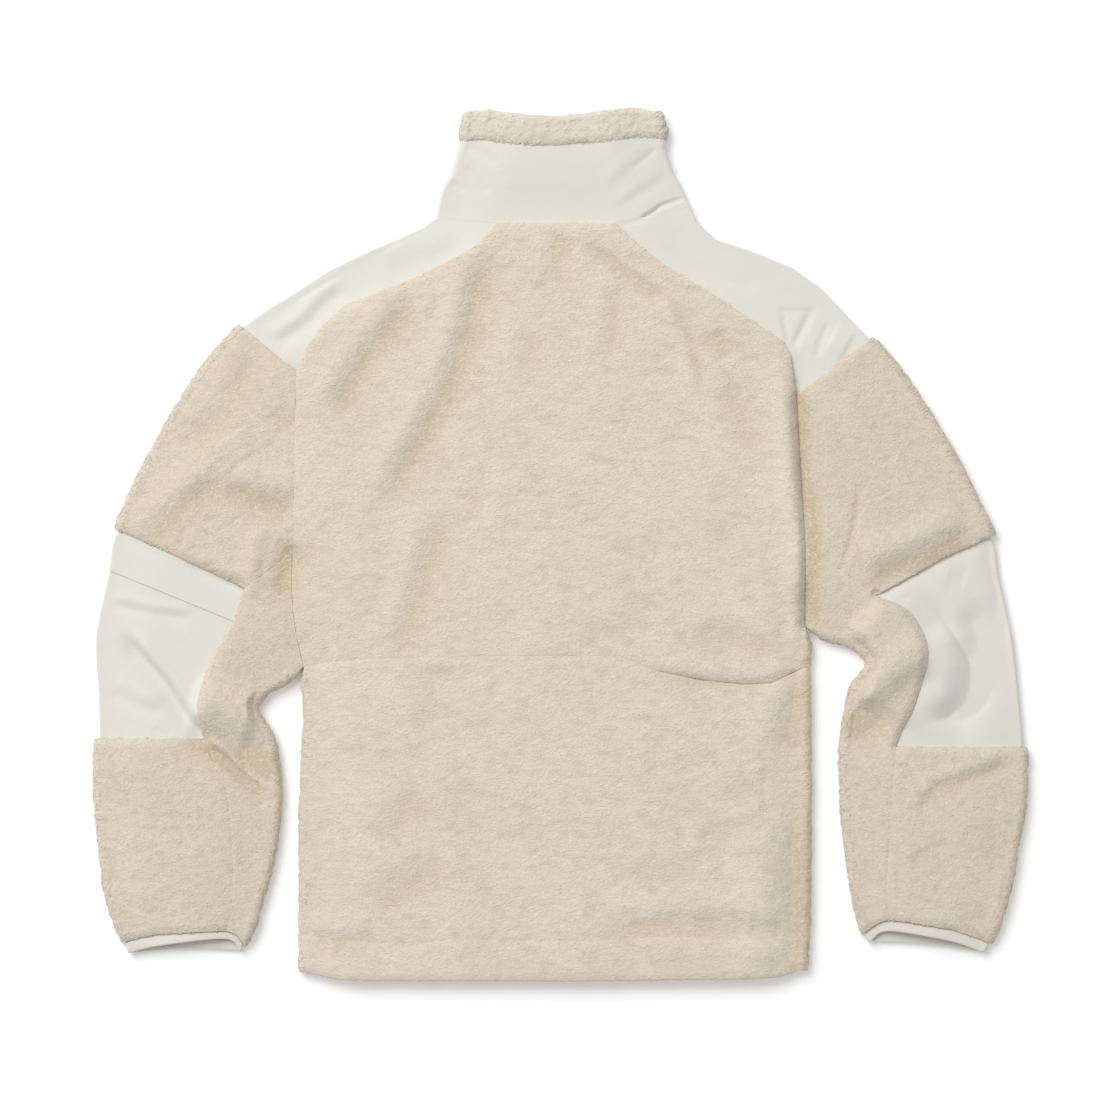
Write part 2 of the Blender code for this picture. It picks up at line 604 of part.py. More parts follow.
def span(start, end, steps):
    return [start + (end - start) * k / steps for k in range(steps + 1)]


def seam_rows(start, end, steps):
    """Rows from one seam to the next, with one more beside each seam."""
    rows = span(start, end, steps)
    return [rows[0], rows[0] + EDGE_ROW * (rows[1] - rows[0]), *rows[1:-1],
            rows[-1] - EDGE_ROW * (rows[-1] - rows[-2]), rows[-1]]


UPPER_ROWS = seam_rows(0, ELBOW_TOP, 6)
ELBOW_ROWS = [ELBOW_TOP, ELBOW_TOP + BESIDE_ELBOW, *span(ELBOW_TOP, ELBOW_FOOT, 8)[1:-1],
              ELBOW_FOOT - BESIDE_ELBOW, ELBOW_FOOT]
FOREARM_ROWS = seam_rows(ELBOW_FOOT, CUFF_TOP, 6)
UNDER_ROWS = UPPER_ROWS[:-1] + ELBOW_ROWS[:-1] + FOREARM_ROWS
CUFF_ROWS = span(CUFF_TOP, CUFF_EDGE, 3)


def sleeve_columns(side):
    """Columns of the outer pieces and of the undersleeve, from the seam on the upper layer."""
    below = ARMHOLE_STEPS[side][1]
    cap = [(c, UP) for c in span(CREST, OUTER, CAP_STEPS)]
    crest = [(c, UP) for c in span(SEAM, CREST, CREST_STEPS)]
    crest.insert(1, (SEAM - BESIDE_SEAM, UP))
    turn = [(OUTER, angle) for angle in FOLD_ANGLES]
    outer = crest[:-1] + cap + turn + [(c, DOWN) for c in span(OUTER, CREST, 2)]
    under = [(c, UP) for c in span(SEAM, INNER, below)]
    under.insert(1, (SEAM + BESIDE_SEAM, UP))
    under += [(INNER, angle) for angle in FOLD_ANGLES]
    under += [(c, DOWN) for c in span(INNER, SEAM, below)]
    under += [(c, DOWN) for c in span(SEAM, CREST, 2)[1:]]
    return outer, under


def make_sleeve(side, shape, finishes):
    outer, under = sleeve_columns(side)
    pieces = []
    for name, rows, cloth, face in (
        ("upper", UPPER_ROWS, "sherpa", sherpa),
        ("elbow", ELBOW_ROWS, "shell", shell),
        ("forearm", FOREARM_ROWS, "sherpa", sherpa),
    ):
        pieces.append(wall(f"sleeve_{side}_{name}", wrap(shape, rows, outer, backing),
                           wrap(shape, rows, outer, face), finishes[cloth]))
    pieces.append(wall(f"sleeve_{side}_under", wrap(shape, UNDER_ROWS, under, backing),
                       wrap(shape, UNDER_ROWS, under, sherpa), finishes["sherpa"]))
    pieces.append(make_cuff(side, shape, finishes["binding"]))
    return pieces


def make_cuff(side, shape, finish):
    """Binding once round the wrist, its ends meeting under the crest of the sleeve."""
    across = ([(c, DOWN) for c in span(CREST, OUTER, 2)]
              + [(OUTER, -angle) for angle in FOLD_ANGLES]
              + [(c, UP) for c in span(OUTER, CREST, 2)]
              + [(c, UP) for c in span(CREST, SEAM, 4)[1:]]
              + [(c, UP) for c in span(SEAM, INNER, 2)[1:]]
              + [(INNER, angle) for angle in FOLD_ANGLES]
              + [(c, DOWN) for c in span(INNER, CREST, 5)])

    def binding(s, angle, left):
        return BINDING * (1 if CUFF_TOP < s < CUFF_EDGE else BINDING_EDGE)

    return wall(f"cuff_{side}", wrap(shape, CUFF_ROWS, across, backing),
                wrap(shape, CUFF_ROWS, across, binding), finish)


def make_pocket_welt(finish):
    """Welt on the left elbow, made from the points of the panel under it, moved out."""
    outer, _ = sleeve_columns("left")
    columns = outer[:outer.index((OUTER, FOLD_ANGLES[0])) + 1]
    rows = [s for s in ELBOW_ROWS if ELBOW_TOP < s <= POCKET_LINE]

    def under_side(s, angle, left):
        return SHELL + SEAM_GAP

    def top_side(s, angle, left):
        return SHELL + SEAM_GAP + WELT

    shape = (LEFT_PLAN, LEFT_OUTWARD)
    return wall("sleeve_left_pocket_welt", wrap(shape, rows, columns, under_side),
                wrap(shape, rows, columns, top_side), finish)


def make_yoke(side, table, finish):
    """Shell over the shoulder: the same shape on the back and, folded over, on the front."""
    columns = ([(c, UP) for c in span(0, 1, 3)]
               + [(1, angle) for angle in FOLD_ANGLES]
               + [(c, DOWN) for c in span(1, 0, 3)])
    rows = range(len(table))
    shape = yoke(table)
    return wall(f"yoke_{side}", wrap(shape, rows, columns, backing),
                wrap(shape, rows, columns, shell), finish)


def body_shares(steps):
    return [0, EDGE_SHARE, *span(0, 1, steps)[1:-1], 1 - EDGE_SHARE, 1]


def back_plan():
    return patch(polyline(LEFT_BACK), polyline(RIGHT_BACK), by_length(NECK_LINE),
                 by_length(BACK_SEAM), BACK_ROWS)


def lower_plan():
    """Below the back seam: s is 0 at the seam, 1 at the hem's stitching and 2 at its edge."""
    left_side = [BACK_SEAM[0], *LEFT_SIDE[1:]]
    right_side = [BACK_SEAM[-1], *RIGHT_SIDE[2:]]
    body = patch(by_length(left_side[:-1]), by_length(right_side[:-1]),
                 by_length(BACK_SEAM), by_length(HEM_STITCH), 1, 1.0)[0]
    hem = patch(polyline(left_side[-2:]), polyline(right_side[-2:]),
                by_length(HEM_STITCH), by_length(HEM), 1, 1.0)[0]

    def plan(s, c, angle=UP):
        return body(s, c) if s <= 1 else hem(s - 1, c)

    return plan, back_plan()[1]


BACK_SEAM_ROWS = [0, EDGE_ROW, *range(1, BACK_ROWS), BACK_ROWS - EDGE_ROW, BACK_ROWS]
HEM_SEAM_ROWS = [0, HEM_ROW, *span(0, 1, LOWER_STEPS)[1:-1], 1 - HEM_ROW, 1, *HEM_BEND, 2]


def side_turn(c, angles):
    return [(c, angle) for angle in angles]


def make_back(finish):
    """Upper back down to its seam. Its right side turns down below the armhole."""
    columns = [(c, UP) for c in body_shares(BACK_STEPS)] + side_turn(1, (45, SIDE_TURN))
    shape, rows = back_plan(), BACK_SEAM_ROWS
    last = len(columns) - 1
    cut = [(i, j) for i, s in enumerate(rows) for j in (last - 2, last - 1)
           if s < RIGHT_UNDERARM_ROW]
    return wall("back_upper", wrap(shape, rows, columns, backing),
                wrap(shape, rows, columns, sherpa), finish, cut)


def make_back_lower(finish):
    columns = (side_turn(0, (SIDE_TURN, 45)) + [(c, UP) for c in body_shares(BACK_STEPS)]
               + side_turn(1, (45, SIDE_TURN)))
    shape = lower_plan()
    return wall("back_lower", wrap(shape, HEM_SEAM_ROWS, columns, backing),
                wrap(shape, HEM_SEAM_ROWS, columns, sherpa), finish)


def make_front(finish):
    """The whole front in one panel, under the back, with the neck slit down its middle."""
    shares = span(0, 1, FRONT_STEPS)
    middle = FRONT_STEPS // 2
    shares.insert(middle, shares[middle])
    columns = (side_turn(0, (-SIDE_TURN, -45)) + [(c, DOWN) for c in shares]
               + side_turn(1, (-45, -SIDE_TURN)))
    rows = BACK_SEAM_ROWS + HEM_SEAM_ROWS[1:]
    join = len(BACK_SEAM_ROWS)
    grids = []
    for face in (backing, sherpa):
        upper = wrap(back_plan(), BACK_SEAM_ROWS, columns, face)
        lower = wrap(lower_plan(), HEM_SEAM_ROWS[1:], columns, face)
        grid = np.concatenate((upper, lower))
        slit = 2 + middle
        grid[:, slit, 0] -= SLIT_HALF_WIDTH
        grid[:, slit + 1, 0] += SLIT_HALF_WIDTH
        grids.append(grid)
    last = len(columns) - 1
    cut = [(i, 2 + middle) for i in range(SLIT_LENGTH_ROWS)]
    for i, s in enumerate(rows[:join]):
        if s < LEFT_UNDERARM_ROW:
            cut += [(i, 0), (i, 1)]
        if s < RIGHT_UNDERARM_ROW:
            cut += [(i, last - 2), (i, last - 1)]
    return wall("front", *grids, finish, cut)


def collar_shape():
    """Plan of the collar: s from the neck seam to the top, c from its left fold to its right."""
    neck = [COLLAR_LEFT[0], *NECK_LINE, COLLAR_RIGHT[0]]
    corners = [0, *COLLAR_CORNERS, 1]
    left, right, top = by_length(COLLAR_LEFT), by_length(COLLAR_RIGHT), by_length(COLLAR_TOP)

    def seam(c):
        return np.array([np.interp(c, corners, [point[k] for point in neck]) for k in (0, 1)])

    def plan(s, c, angle=UP):
        bow_neck = seam(c) - lerp(seam(0), seam(1), c)
        bow_top = top(c) - lerp(top(0), top(1), c)
        return lerp(left(s), right(s), c) + bow_neck * (1 - s) + bow_top * s

    def outward(s, c):
        return unit(plan(s, c) - plan(s, COLLAR_CORNERS[0] if c < 0.5 else COLLAR_CORNERS[1]))

    return plan, outward


def collar_columns():
    """Round the collar from the slit, over the back and to the slit again."""
    return ([(c, DOWN) for c in COLLAR_FRONT]
            + side_turn(0, [-angle for angle in FOLD_ANGLES])
            + [(c, UP) for c in COLLAR_BACK]
            + side_turn(1, FOLD_ANGLES)
            + [(1 - c, DOWN) for c in reversed(COLLAR_FRONT)])


def open_slit(grid):
    """Part the two ends of the collar at the slit."""
    grid[:, 0, 0] -= SLIT_HALF_WIDTH
    grid[:, -1, 0] += SLIT_HALF_WIDTH
    return grid


def make_collar(finishes):
    """Shell outside, and a sherpa lining that rises over it as a band round the top."""
    shape, columns = collar_shape(), collar_columns()
    shell_rows = [0, LINING_START, *COLLAR_ROWS, BAND_START - BAND_GAP]
    shell_piece = wall(
        "collar_shell",
        open_slit(wrap(shape, shell_rows, columns, backing, collar_level)),
        open_slit(wrap(shape, shell_rows, columns, shell, collar_level)),
        finishes["shell"])
    band = [(s, -SEAM_GAP, LINING) for s in (LINING_START, *COLLAR_ROWS, BAND_START)] + list(BAND)
    rows = [row[0] for row in band]
    outside = {row[0]: row[1] for row in band}
    inside = {row[0]: row[2] for row in band}

    def outer_face(s, angle, left):
        return outside[s]

    def inner_face(s, angle, left):
        gap = collar_level(s)[1]
        return -min(inside[s], (gap - SEAM_GAP) / 2)

    lining_piece = wall(
        "collar_lining",
        open_slit(wrap(shape, rows, columns, inner_face, collar_level)),
        open_slit(wrap(shape, rows, columns, outer_face, collar_level)),
        finishes["sherpa"])
    return [shell_piece, lining_piece]


def main():
    for old in list(bpy.data.objects):
        bpy.data.objects.remove(old, do_unlink=True)
    finishes = {name: material(name) for name in COLOURS}
    pieces = [
        make_back(finishes["sherpa"]),
        make_back_lower(finishes["sherpa"]),
        make_front(finishes["sherpa"]),
        make_yoke("left", LEFT_YOKE, finishes["shell"]),
        make_yoke("right", RIGHT_YOKE, finishes["shell"]),
        *make_collar(finishes),
        *make_sleeve("left", (LEFT_PLAN, LEFT_OUTWARD), finishes),
        *make_sleeve("right", (RIGHT_PLAN, RIGHT_OUTWARD), finishes),
        make_pocket_welt(finishes["shell"]),
    ]
    collection = bpy.data.collections.new("sherpa_pullover")
    bpy.context.scene.collection.children.link(collection)
    root = bpy.data.objects.new("pullover", None)
    collection.objects.link(root)
    for piece in pieces:
        collection.objects.link(piece)
        piece.parent = root


main()
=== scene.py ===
"""Looks of the sherpa fleece pullover, laid flat on a pale floor with its back up.

Each piece of cloth is made again from the sizes of its CAD solid, on a finer grid: the same plan,
folded edges, seams and folds, with the curls of the pile and the creases of the shell that a
solid leaves out. Tables and working sizes are in millimetres, and the meshes are in metres.
"""

import itertools
import math

import bpy
import numpy as np
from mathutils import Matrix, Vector


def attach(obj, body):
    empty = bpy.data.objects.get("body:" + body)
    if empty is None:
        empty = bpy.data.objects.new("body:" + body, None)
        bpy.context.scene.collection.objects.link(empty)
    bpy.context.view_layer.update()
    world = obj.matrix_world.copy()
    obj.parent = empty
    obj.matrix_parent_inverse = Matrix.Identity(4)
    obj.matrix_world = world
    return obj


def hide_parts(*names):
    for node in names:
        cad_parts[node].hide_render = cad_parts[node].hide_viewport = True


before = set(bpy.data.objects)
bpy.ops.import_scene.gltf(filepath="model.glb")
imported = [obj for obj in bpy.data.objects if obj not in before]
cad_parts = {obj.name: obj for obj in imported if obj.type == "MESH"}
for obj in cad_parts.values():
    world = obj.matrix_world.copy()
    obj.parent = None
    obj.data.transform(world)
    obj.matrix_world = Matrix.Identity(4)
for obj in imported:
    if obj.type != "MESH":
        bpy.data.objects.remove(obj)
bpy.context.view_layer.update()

MM = 0.001

# Cloth
SHERPA = 6.5            # pile with its knitted ground
SHELL = 1.2             # smooth woven shell
BINDING = 2.4           # folded binding at the cuffs
BINDING_EDGE = 0.6      # share of its thickness at its two edges
LINING = 4.5            # sherpa inside the collar
BAND_PROUD = 3.4        # how far the collar's sherpa band stands over the backing
WELT = 1.1              # doubled shell of the pocket welt
LAYER_GAP = 1.6         # between the backings of two layers that lie on each other
SEAM_GAP = 0.3          # between two pieces at their seam
SEWN_GAP = 0.05         # and where the pile closes over it

# Relief of the upper layer
CROWN = 4.5             # how far it rises from its folded edges
CROWN_REACH = 50.0
SEAM_PINCH = 0.6        # share of the pile that is drawn down into a deep seam
SEAM_REACH = 8.0
FOLD_EDGE = 5.0         # the folds run out this far from a folded edge
FOLD_BOX = 2.6          # half widths beyond which a fold is not felt
LOWEST_LIFT = -1.0
UNDERARM_REACH = 0.05   # how far a folded edge reaches out at the underarm point itself
EASE = 0.45             # and how much more for each millimetre from that point

# Collar
COLLAR_GAP = 10.6       # between the backings of its two halves
COLLAR_BED = 3.6        # height of the lower half's backing
COLLAR_RISE = 0.8       # share of the collar's height over which it fills out
COLLAR_CORNERS = (0.25, 0.75)   # shares of the collar's width where its neck seam turns
BAND_START = 0.74       # share of the collar's height where the sherpa band starts
BAND_SLOPE = 0.05       # and over which it rises over the shell
LINING_START = 0.1      # share of its height where the lining starts
COLLAR_ROWS = (0.2, 0.32, 0.53)         # shares of its height between the lining's start and the band
COLLAR_SIDE = 0.12                      # share of its width, beside a folded side
COLLAR_FRONT = (0.5, 0.4, 0.25, COLLAR_SIDE, 0)
COLLAR_BACK = (0, COLLAR_SIDE, 0.25, 0.35, 0.45, 0.55, 0.65, 0.75, 1 - COLLAR_SIDE, 1)
BAND_GAP = 0.004        # share of the height between the shell and the band
BAND = (
    # share of the collar's height, distance outside the backing, and inside it
    (BAND_START + BAND_GAP, 0.5 * BAND_PROUD, LINING),
    (BAND_START + BAND_SLOPE, BAND_PROUD, LINING),
    (0.87, BAND_PROUD, LINING),
    (0.96, 0.8 * BAND_PROUD, LINING),
    (1.0, -0.1 * BAND_PROUD, 0.75 * LINING),
)

# Centre-front neck slit
SLIT_LENGTH_ROWS = 9
SLIT_HALF_WIDTH = 0.5

# Sleeves: one section in each row, with where it crosses the outer fold, the crest of the
# sleeve, the seam of the undersleeve, and the inner fold.
SLEEVE_COLUMNS = ("section", "outer", "crest", "seam", "inner")
LEFT_SLEEVE = (
    ("cap",         (-290, 198), (-242, 158), (-245, -3), (-235, -113)),
    ("upper arm",   (-324, 160), (-286, 115), (-257, -16), (-241, -117)),
    ("above elbow", (-365, 94), (-331, 58), (-273, -29), (-249, -120)),
    ("elbow top",   (-404, 12), (-365, -5), (-289, -41), (-257, -125)),
    ("pocket line", (-412, -25), (-377, -39), (-299, -71), (-269, -131)),
    ("elbow",       (-424, -84), (-391, -93), (-319, -107), (-280, -141)),
    ("below elbow", (-422, -136), (-392, -138), (-331, -142), (-282, -153)),
    ("elbow foot",  (-421, -179), (-390, -179), (-327, -179), (-268, -181)),
    ("forearm",     (-422, -226), (-384, -226), (-307, -226), (-262, -224)),
    ("lower arm",   (-417, -279), (-378, -279), (-301, -279), (-267, -279)),
    ("wrist",       (-412, -324), (-375, -325), (-301, -327), (-279, -329)),
    ("cuff top",    (-397, -365), (-369, -359), (-306, -356), (-292, -366)),
    ("cuff edge",   (-394, -376), (-366, -369), (-308, -363), (-295, -373)),
)
RIGHT_SLEEVE = (
    ("cap",         (284, 187), (218, 136), (226, -1), (226, -76)),
    ("upper arm",   (315, 149), (276, 103), (247, -16), (238, -80)),
    ("above elbow", (356, 84), (320, 52), (269, -31), (253, -84)),
    ("elbow top",   (395, 6), (356, -11), (291, -47), (268, -89)),
    ("elbow fold",  (402, -30), (373, -42), (321, -62), (281, -97)),
    ("elbow",       (414, -84), (388, -88), (338, -97), (287, -111)),
    ("below elbow", (421, -146), (390, -145), (328, -144), (273, -135)),
    ("elbow foot",  (424, -187), (387, -187), (310, -186), (264, -185)),
    ("forearm",     (423, -234), (385, -234), (305, -235), (265, -235)),
    ("lower arm",   (416, -278), (379, -279), (302, -279), (269, -281)),
    ("wrist",       (408, -321), (374, -324), (300, -321), (276, -327)),
    ("cuff top",    (393, -366), (362, -355), (303, -346), (283, -356)),
    ("cuff edge",   (387, -375), (359, -365), (303, -356), (287, -365)),
)
ELBOW_TOP, POCKET_LINE, ELBOW_FOOT, WRIST, CUFF_TOP, CUFF_EDGE = 3, 4, 7, 10, 11, 12
OUTER, CREST, SEAM, INNER = 0, 1, 2, 3
LEFT_ARMHOLE_BOW = -5.0     # how far the lower armhole curves out, halfway along
RIGHT_ARMHOLE_BOW = 0.0
UNDER_CUFF_BOW = 2.2        # how far the edge of the cuff's lower layer curves in, halfway along

# Yokes: the back seam and the shoulder fold, from the neck to the cap of the sleeve
LEFT_YOKE = (
    # back seam      shoulder fold
    ((-58, 295), (-111, 300)),
    ((-69, 281), (-123, 291)),
    ((-89, 267), (-142, 282)),
    ((-123, 249), (-173, 269)),
    ((-162, 233), (-210, 251)),
    ((-196, 220), (-238, 233)),
    ((-219, 200), (-264, 217)),
    ((-233, 181), (-277, 208)),
    ((-242, 158), (-290, 198)),
)
RIGHT_YOKE = (
    ((51, 295), (118, 310)),
    ((66, 279), (125, 295)),
    ((90, 261), (141, 280)),
    ((120, 242), (174, 269)),
    ((154, 221), (211, 254)),
    ((184, 200), (238, 235)),
    ((204, 187), (259, 213)),
    ((212, 173), (273, 198)),
    ((218, 136), (284, 187)),
)

# Body: sides from the underarm to the hem, and the lines that cross it
LEFT_SIDE = ((-235, -113), (-230, -135), (-229, -162), (-233, -245), (-233, -359), (-234, -394))
RIGHT_SIDE = ((226, -76), (224, -114), (225, -200), (225, -300), (224, -357), (222, -392))
BACK_SEAM = ((-235, -113), (-211, -108), (-171, -105), (-100, -103), (0, -102), (55, -103),
             (92, -117), (130, -125), (168, -129), (194, -128), (224, -114))
HEM_STITCH = ((-233, -359), (-210, -363), (-134, -368), (-113, -364), (29, -364), (111, -360),
              (174, -364), (224, -357))
HEM = ((-234, -394), (-211, -399), (-192, -401), (9, -402), (175, -400), (203, -398), (222, -392))

# Collar: its two folded sides from the neck seam up, and its top edge
COLLAR_LEFT = ((-111, 300), (-108, 316), (-103, 329), (-95, 340), (-88, 362), (-84, 374), (-80, 398))
COLLAR_RIGHT = ((118, 310), (114, 318), (109, 329), (101, 340), (92, 362), (92, 375), (87, 398))
COLLAR_TOP = ((-80, 398), (-64, 399), (-45, 396), (-27, 394), (0, 393), (28, 396), (46, 399), (70, 401),
              (87, 398))

# Fold across the left elbow panel, which is both a hollow and a tuck
LEFT_ELBOW = ((-402, -78), (-385, -100), (-372, -115), (-360, -130), (-350, -145), (-340, -160),
              (-328, -172), (-316, -186))

# Ridges and hollows of the upper layer: place, half widths on the left and the right of the
# path, height, path
FOLDS = (
    ("right of the neck", (5, 9), -2.4, ((25, 278), (32, 270), (48, 262), (58, 252), (73, 242),
      (84, 232), (100, 219))),
    ("right blade, upper", (10, 10), -2.1, ((142, 198), (147, 185), (156, 168))),
    ("right blade", (12.5, 12.5), -1.3, ((150, 150), (165, 120), (180, 85))),
    ("waist, right end", (6, 6), -1.3, ((200, -76), (213, -75))),
    ("right hem, end", (11, 11), -1.8, ((172, -351), (206, -357))),
    ("left sleeve mound", (19.5, 19.5), 1.7, ((-306, 100), (-288, 76))),
    ("left armhole, upper", (11, 11), -1.3, ((-262, 125), (-245, 105))),
    ("left underarm", (14, 14), -3.1, ((-247, 6), (-256, -22), (-258, -50))),
    ("left elbow", (5.5, 7), -3.6, LEFT_ELBOW),
    ("right elbow", (7, 16), -2.6, ((328, -38), (345, -58), (358, -75), (368, -92), (378, -108),
      (385, -122), (388, -132), (387, -143), (380, -152), (365, -158), (345, -162), (322, -165))),
    ("right elbow rim", (6, 6), 1.0, ((288, -52), (316, -64), (332, -88), (334, -104))),
    ("right patch, top", (11, 11), -1.1, ((356, -30), (374, -34))),
    ("right yoke", (7, 7), -0.9, ((92, 276), (120, 255), (150, 243), (188, 236))),
    ("right yoke bulge", (14, 14), 1.8, ((248, 190), (266, 180))),
    ("left elbow bunch", (14, 34), 7.5, ((-340, -136), (-312, -144), (-290, -150), (-272, -156))),
    ("right elbow bunch", (46, 9), 12.5, ((266, -68), (286, -86), (298, -106), (290, -130),
      (277, -156))),
    ("left cuff mouth", (8, 8), 2.2, ((-390, -378), (-350, -368), (-316, -364), (-292, -376))),
    ("right cuff mouth", (8, 8), 2.2, ((384, -378), (350, -364), (306, -358), (284, -368))),
)

# Tucks of the upper layer, which stands high on the left of the path and sinks on its right:
# place, half width, drop, path
TUCKS = (
    ("neck to left side", 16, 4.9, ((-164, 20), (-162, 40), (-156, 60), (-147, 80), (-132, 100),
      (-122, 120), (-110, 140), (-103, 160), (-97, 180), (-90, 200), (-86, 220), (-82, 240),
      (-76, 258), (-50, 277))),
    ("left shoulder", 16, 4.8, ((-212, 110), (-205, 140), (-195, 155), (-185, 172), (-170, 190),
      (-158, 205), (-150, 220), (-142, 238))),
    ("left blade", 8, 1.4, ((-126, 205), (-112, 230))),
    ("left flank", 16, 3.3, ((-160, -104), (-155, -90), (-145, -70), (-137, -50), (-132, -30),
      (-125, -10), (-122, 10), (-113, 36))),
    ("left flank, outer", 19, 1.4, ((-184, -80), (-166, -22))),
    ("middle, left", 14.5, 1.5, ((-62, 66), (-72, 12))),
    ("under the neck", 14.5, 2.2, ((-12, 234), (-8, 292))),
    ("spine", 13, 1.8, ((-42, 160), (-29, 202))),
    ("right of the neck, low", 7, 2.2, ((129, 136), (122, 165), (120, 178), (115, 192), (107, 207),
      (102, 224))),
    ("spine, right", 13, 2.2, ((34, 166), (45, 200), (46, 244))),
    ("at the neck", 5, 1.4, ((-4, 284), (18, 276))),
    ("by the right yoke", 4.5, 1.4, ((114, 236), (138, 231))),
    ("right armhole", 11, 7.5, ((224, -104), (225, -80), (224, -60), (223, -45), (226, -25),
      (227, 0), (224, 20), (221, 40), (217, 60), (216, 90), (214, 120), (212, 140), (209, 178))),
    ("waist roll", 9, 2.8, ((78, -108), (92, -114), (110, -119), (130, -122), (150, -124),
      (175, -126), (195, -124), (207, -119), (230, -114))),
    ("above the roll", 14.5, 2.7, ((120, -74), (150, -75), (170, -78), (185, -87), (206, -95))),
    ("waist, middle", 14.5, 1.4, ((14, -82), (60, -68), (84, -60))),
    ("waist, left", 9, 1.4, ((-138, -117), (-94, -112))),
    ("right hem", 14.5, 3.3, ((30, -346), (60, -346), (100, -342), (140, -341), (170, -343),
      (214, -354))),
    ("left hem", 13, 2.2, ((-232, -357), (-205, -359), (-168, -356))),
    ("right side, low", 26, 5.4, ((203, -408), (204, -330), (208, -236))),
    ("right side, high", 18, 4.0, ((200, -192), (208, -150), (214, -118))),
    ("lower right, upper", 14.5, 1.7, ((146, -218), (194, -212))),
    ("lower right, middle", 14.5, 1.7, ((116, -270), (155, -258), (194, -250))),
    ("lower right, lower", 14.5, 1.4, ((56, -300), (90, -293), (140, -284))),
    ("lower left, upper", 17.5, 1.5, ((-142, -206), (-132, -160), (-124, -126))),
    ("lower left, middle", 22, 2.4, ((-174, -272), (-150, -240), (-138, -220))),
    ("lower left, lower", 22, 2.0, ((-178, -334), (-150, -302), (-118, -288), (-100, -283))),
    ("left cap", 14.5, 2.6, ((-348, 92), (-330, 115), (-315, 130), (-305, 145), (-298, 160),
      (-290, 172), (-268, 177))),
    ("left arm, outer", 14.5, 4.2, ((-384, 2), (-370, 20), (-360, 30), (-345, 45), (-330, 55),
      (-304, 68))),
    ("left arm, inner", 14.5, 5.4, ((-306, 62), (-280, 50), (-262, 45), (-238, 41))),
    ("left underarm, edge", 13, 3.0, ((-264, -60), (-257, -30), (-247, 8))),
    ("above the left patch", 8, 2.4, ((-336, -12), (-310, -28), (-280, -36))),
    ("under the pocket", 6.5, 2.2, ((-414, -51), (-385, -58), (-360, -62), (-334, -66))),
    ("left elbow", 10, 5.5, LEFT_ELBOW),
    ("left elbow, low", 9, 2.0, ((-414, -128), (-385, -145), (-360, -150))),
    ("left undersleeve", 24, 9.0, ((-344, -154), (-314, -166), (-288, -178), (-244, -196))),
    ("left forearm", 6, 4.6, ((-328, -178), (-305, -197), (-295, -208), (-283, -218),
      (-262, -234))),
    ("right arm", 17, 6.6, ((276, -31), (296, -18), (312, -12), (328, -6), (348, 4), (382, 19))),
    ("right patch, outer", 13, 2.5, ((406, -92), (400, -50), (395, -20), (386, 14))),
    ("right undersleeve", 20, 9.0, ((248, -166), (272, -150), (300, -134), (324, -118),
      (350, -104))),
    ("right elbow", 25, 9.0, ((340, -168), (361, -143), (372, -113), (370, -85), (356, -62))),
    ("right forearm", 9, 3.2, ((322, -252), (335, -230), (345, -220), (365, -214), (385, -206),
      (400, -200), (420, -194))),
    ("right forearm, low", 8, 1.5, ((316, -293), (354, -265))),
    ("right wrist", 8, 2.1, ((407, -356), (410, -325), (413, -292))),
    ("left yoke", 9, 3.3, ((-272, 186), (-255, 193), (-243, 200), (-233, 208), (-222, 221),
      (-212, 230), (-192, 239))),
    ("left yoke, inner", 13, 2.0, ((-166, 255), (-140, 263), (-120, 269), (-88, 281))),
    ("collar, right, upper", 8, 0.9, ((42, 326), (60, 345), (88, 366))),
    ("collar, right, lower", 6.5, 0.9, ((48, 308), (75, 327), (101, 343))),
)
FOLD_RUNOUT = 0.2       # share of a fold's length over which each end fades
DROP_TO_SLOPE = 1.17    # slope of a tuck of half width 1 and drop 1

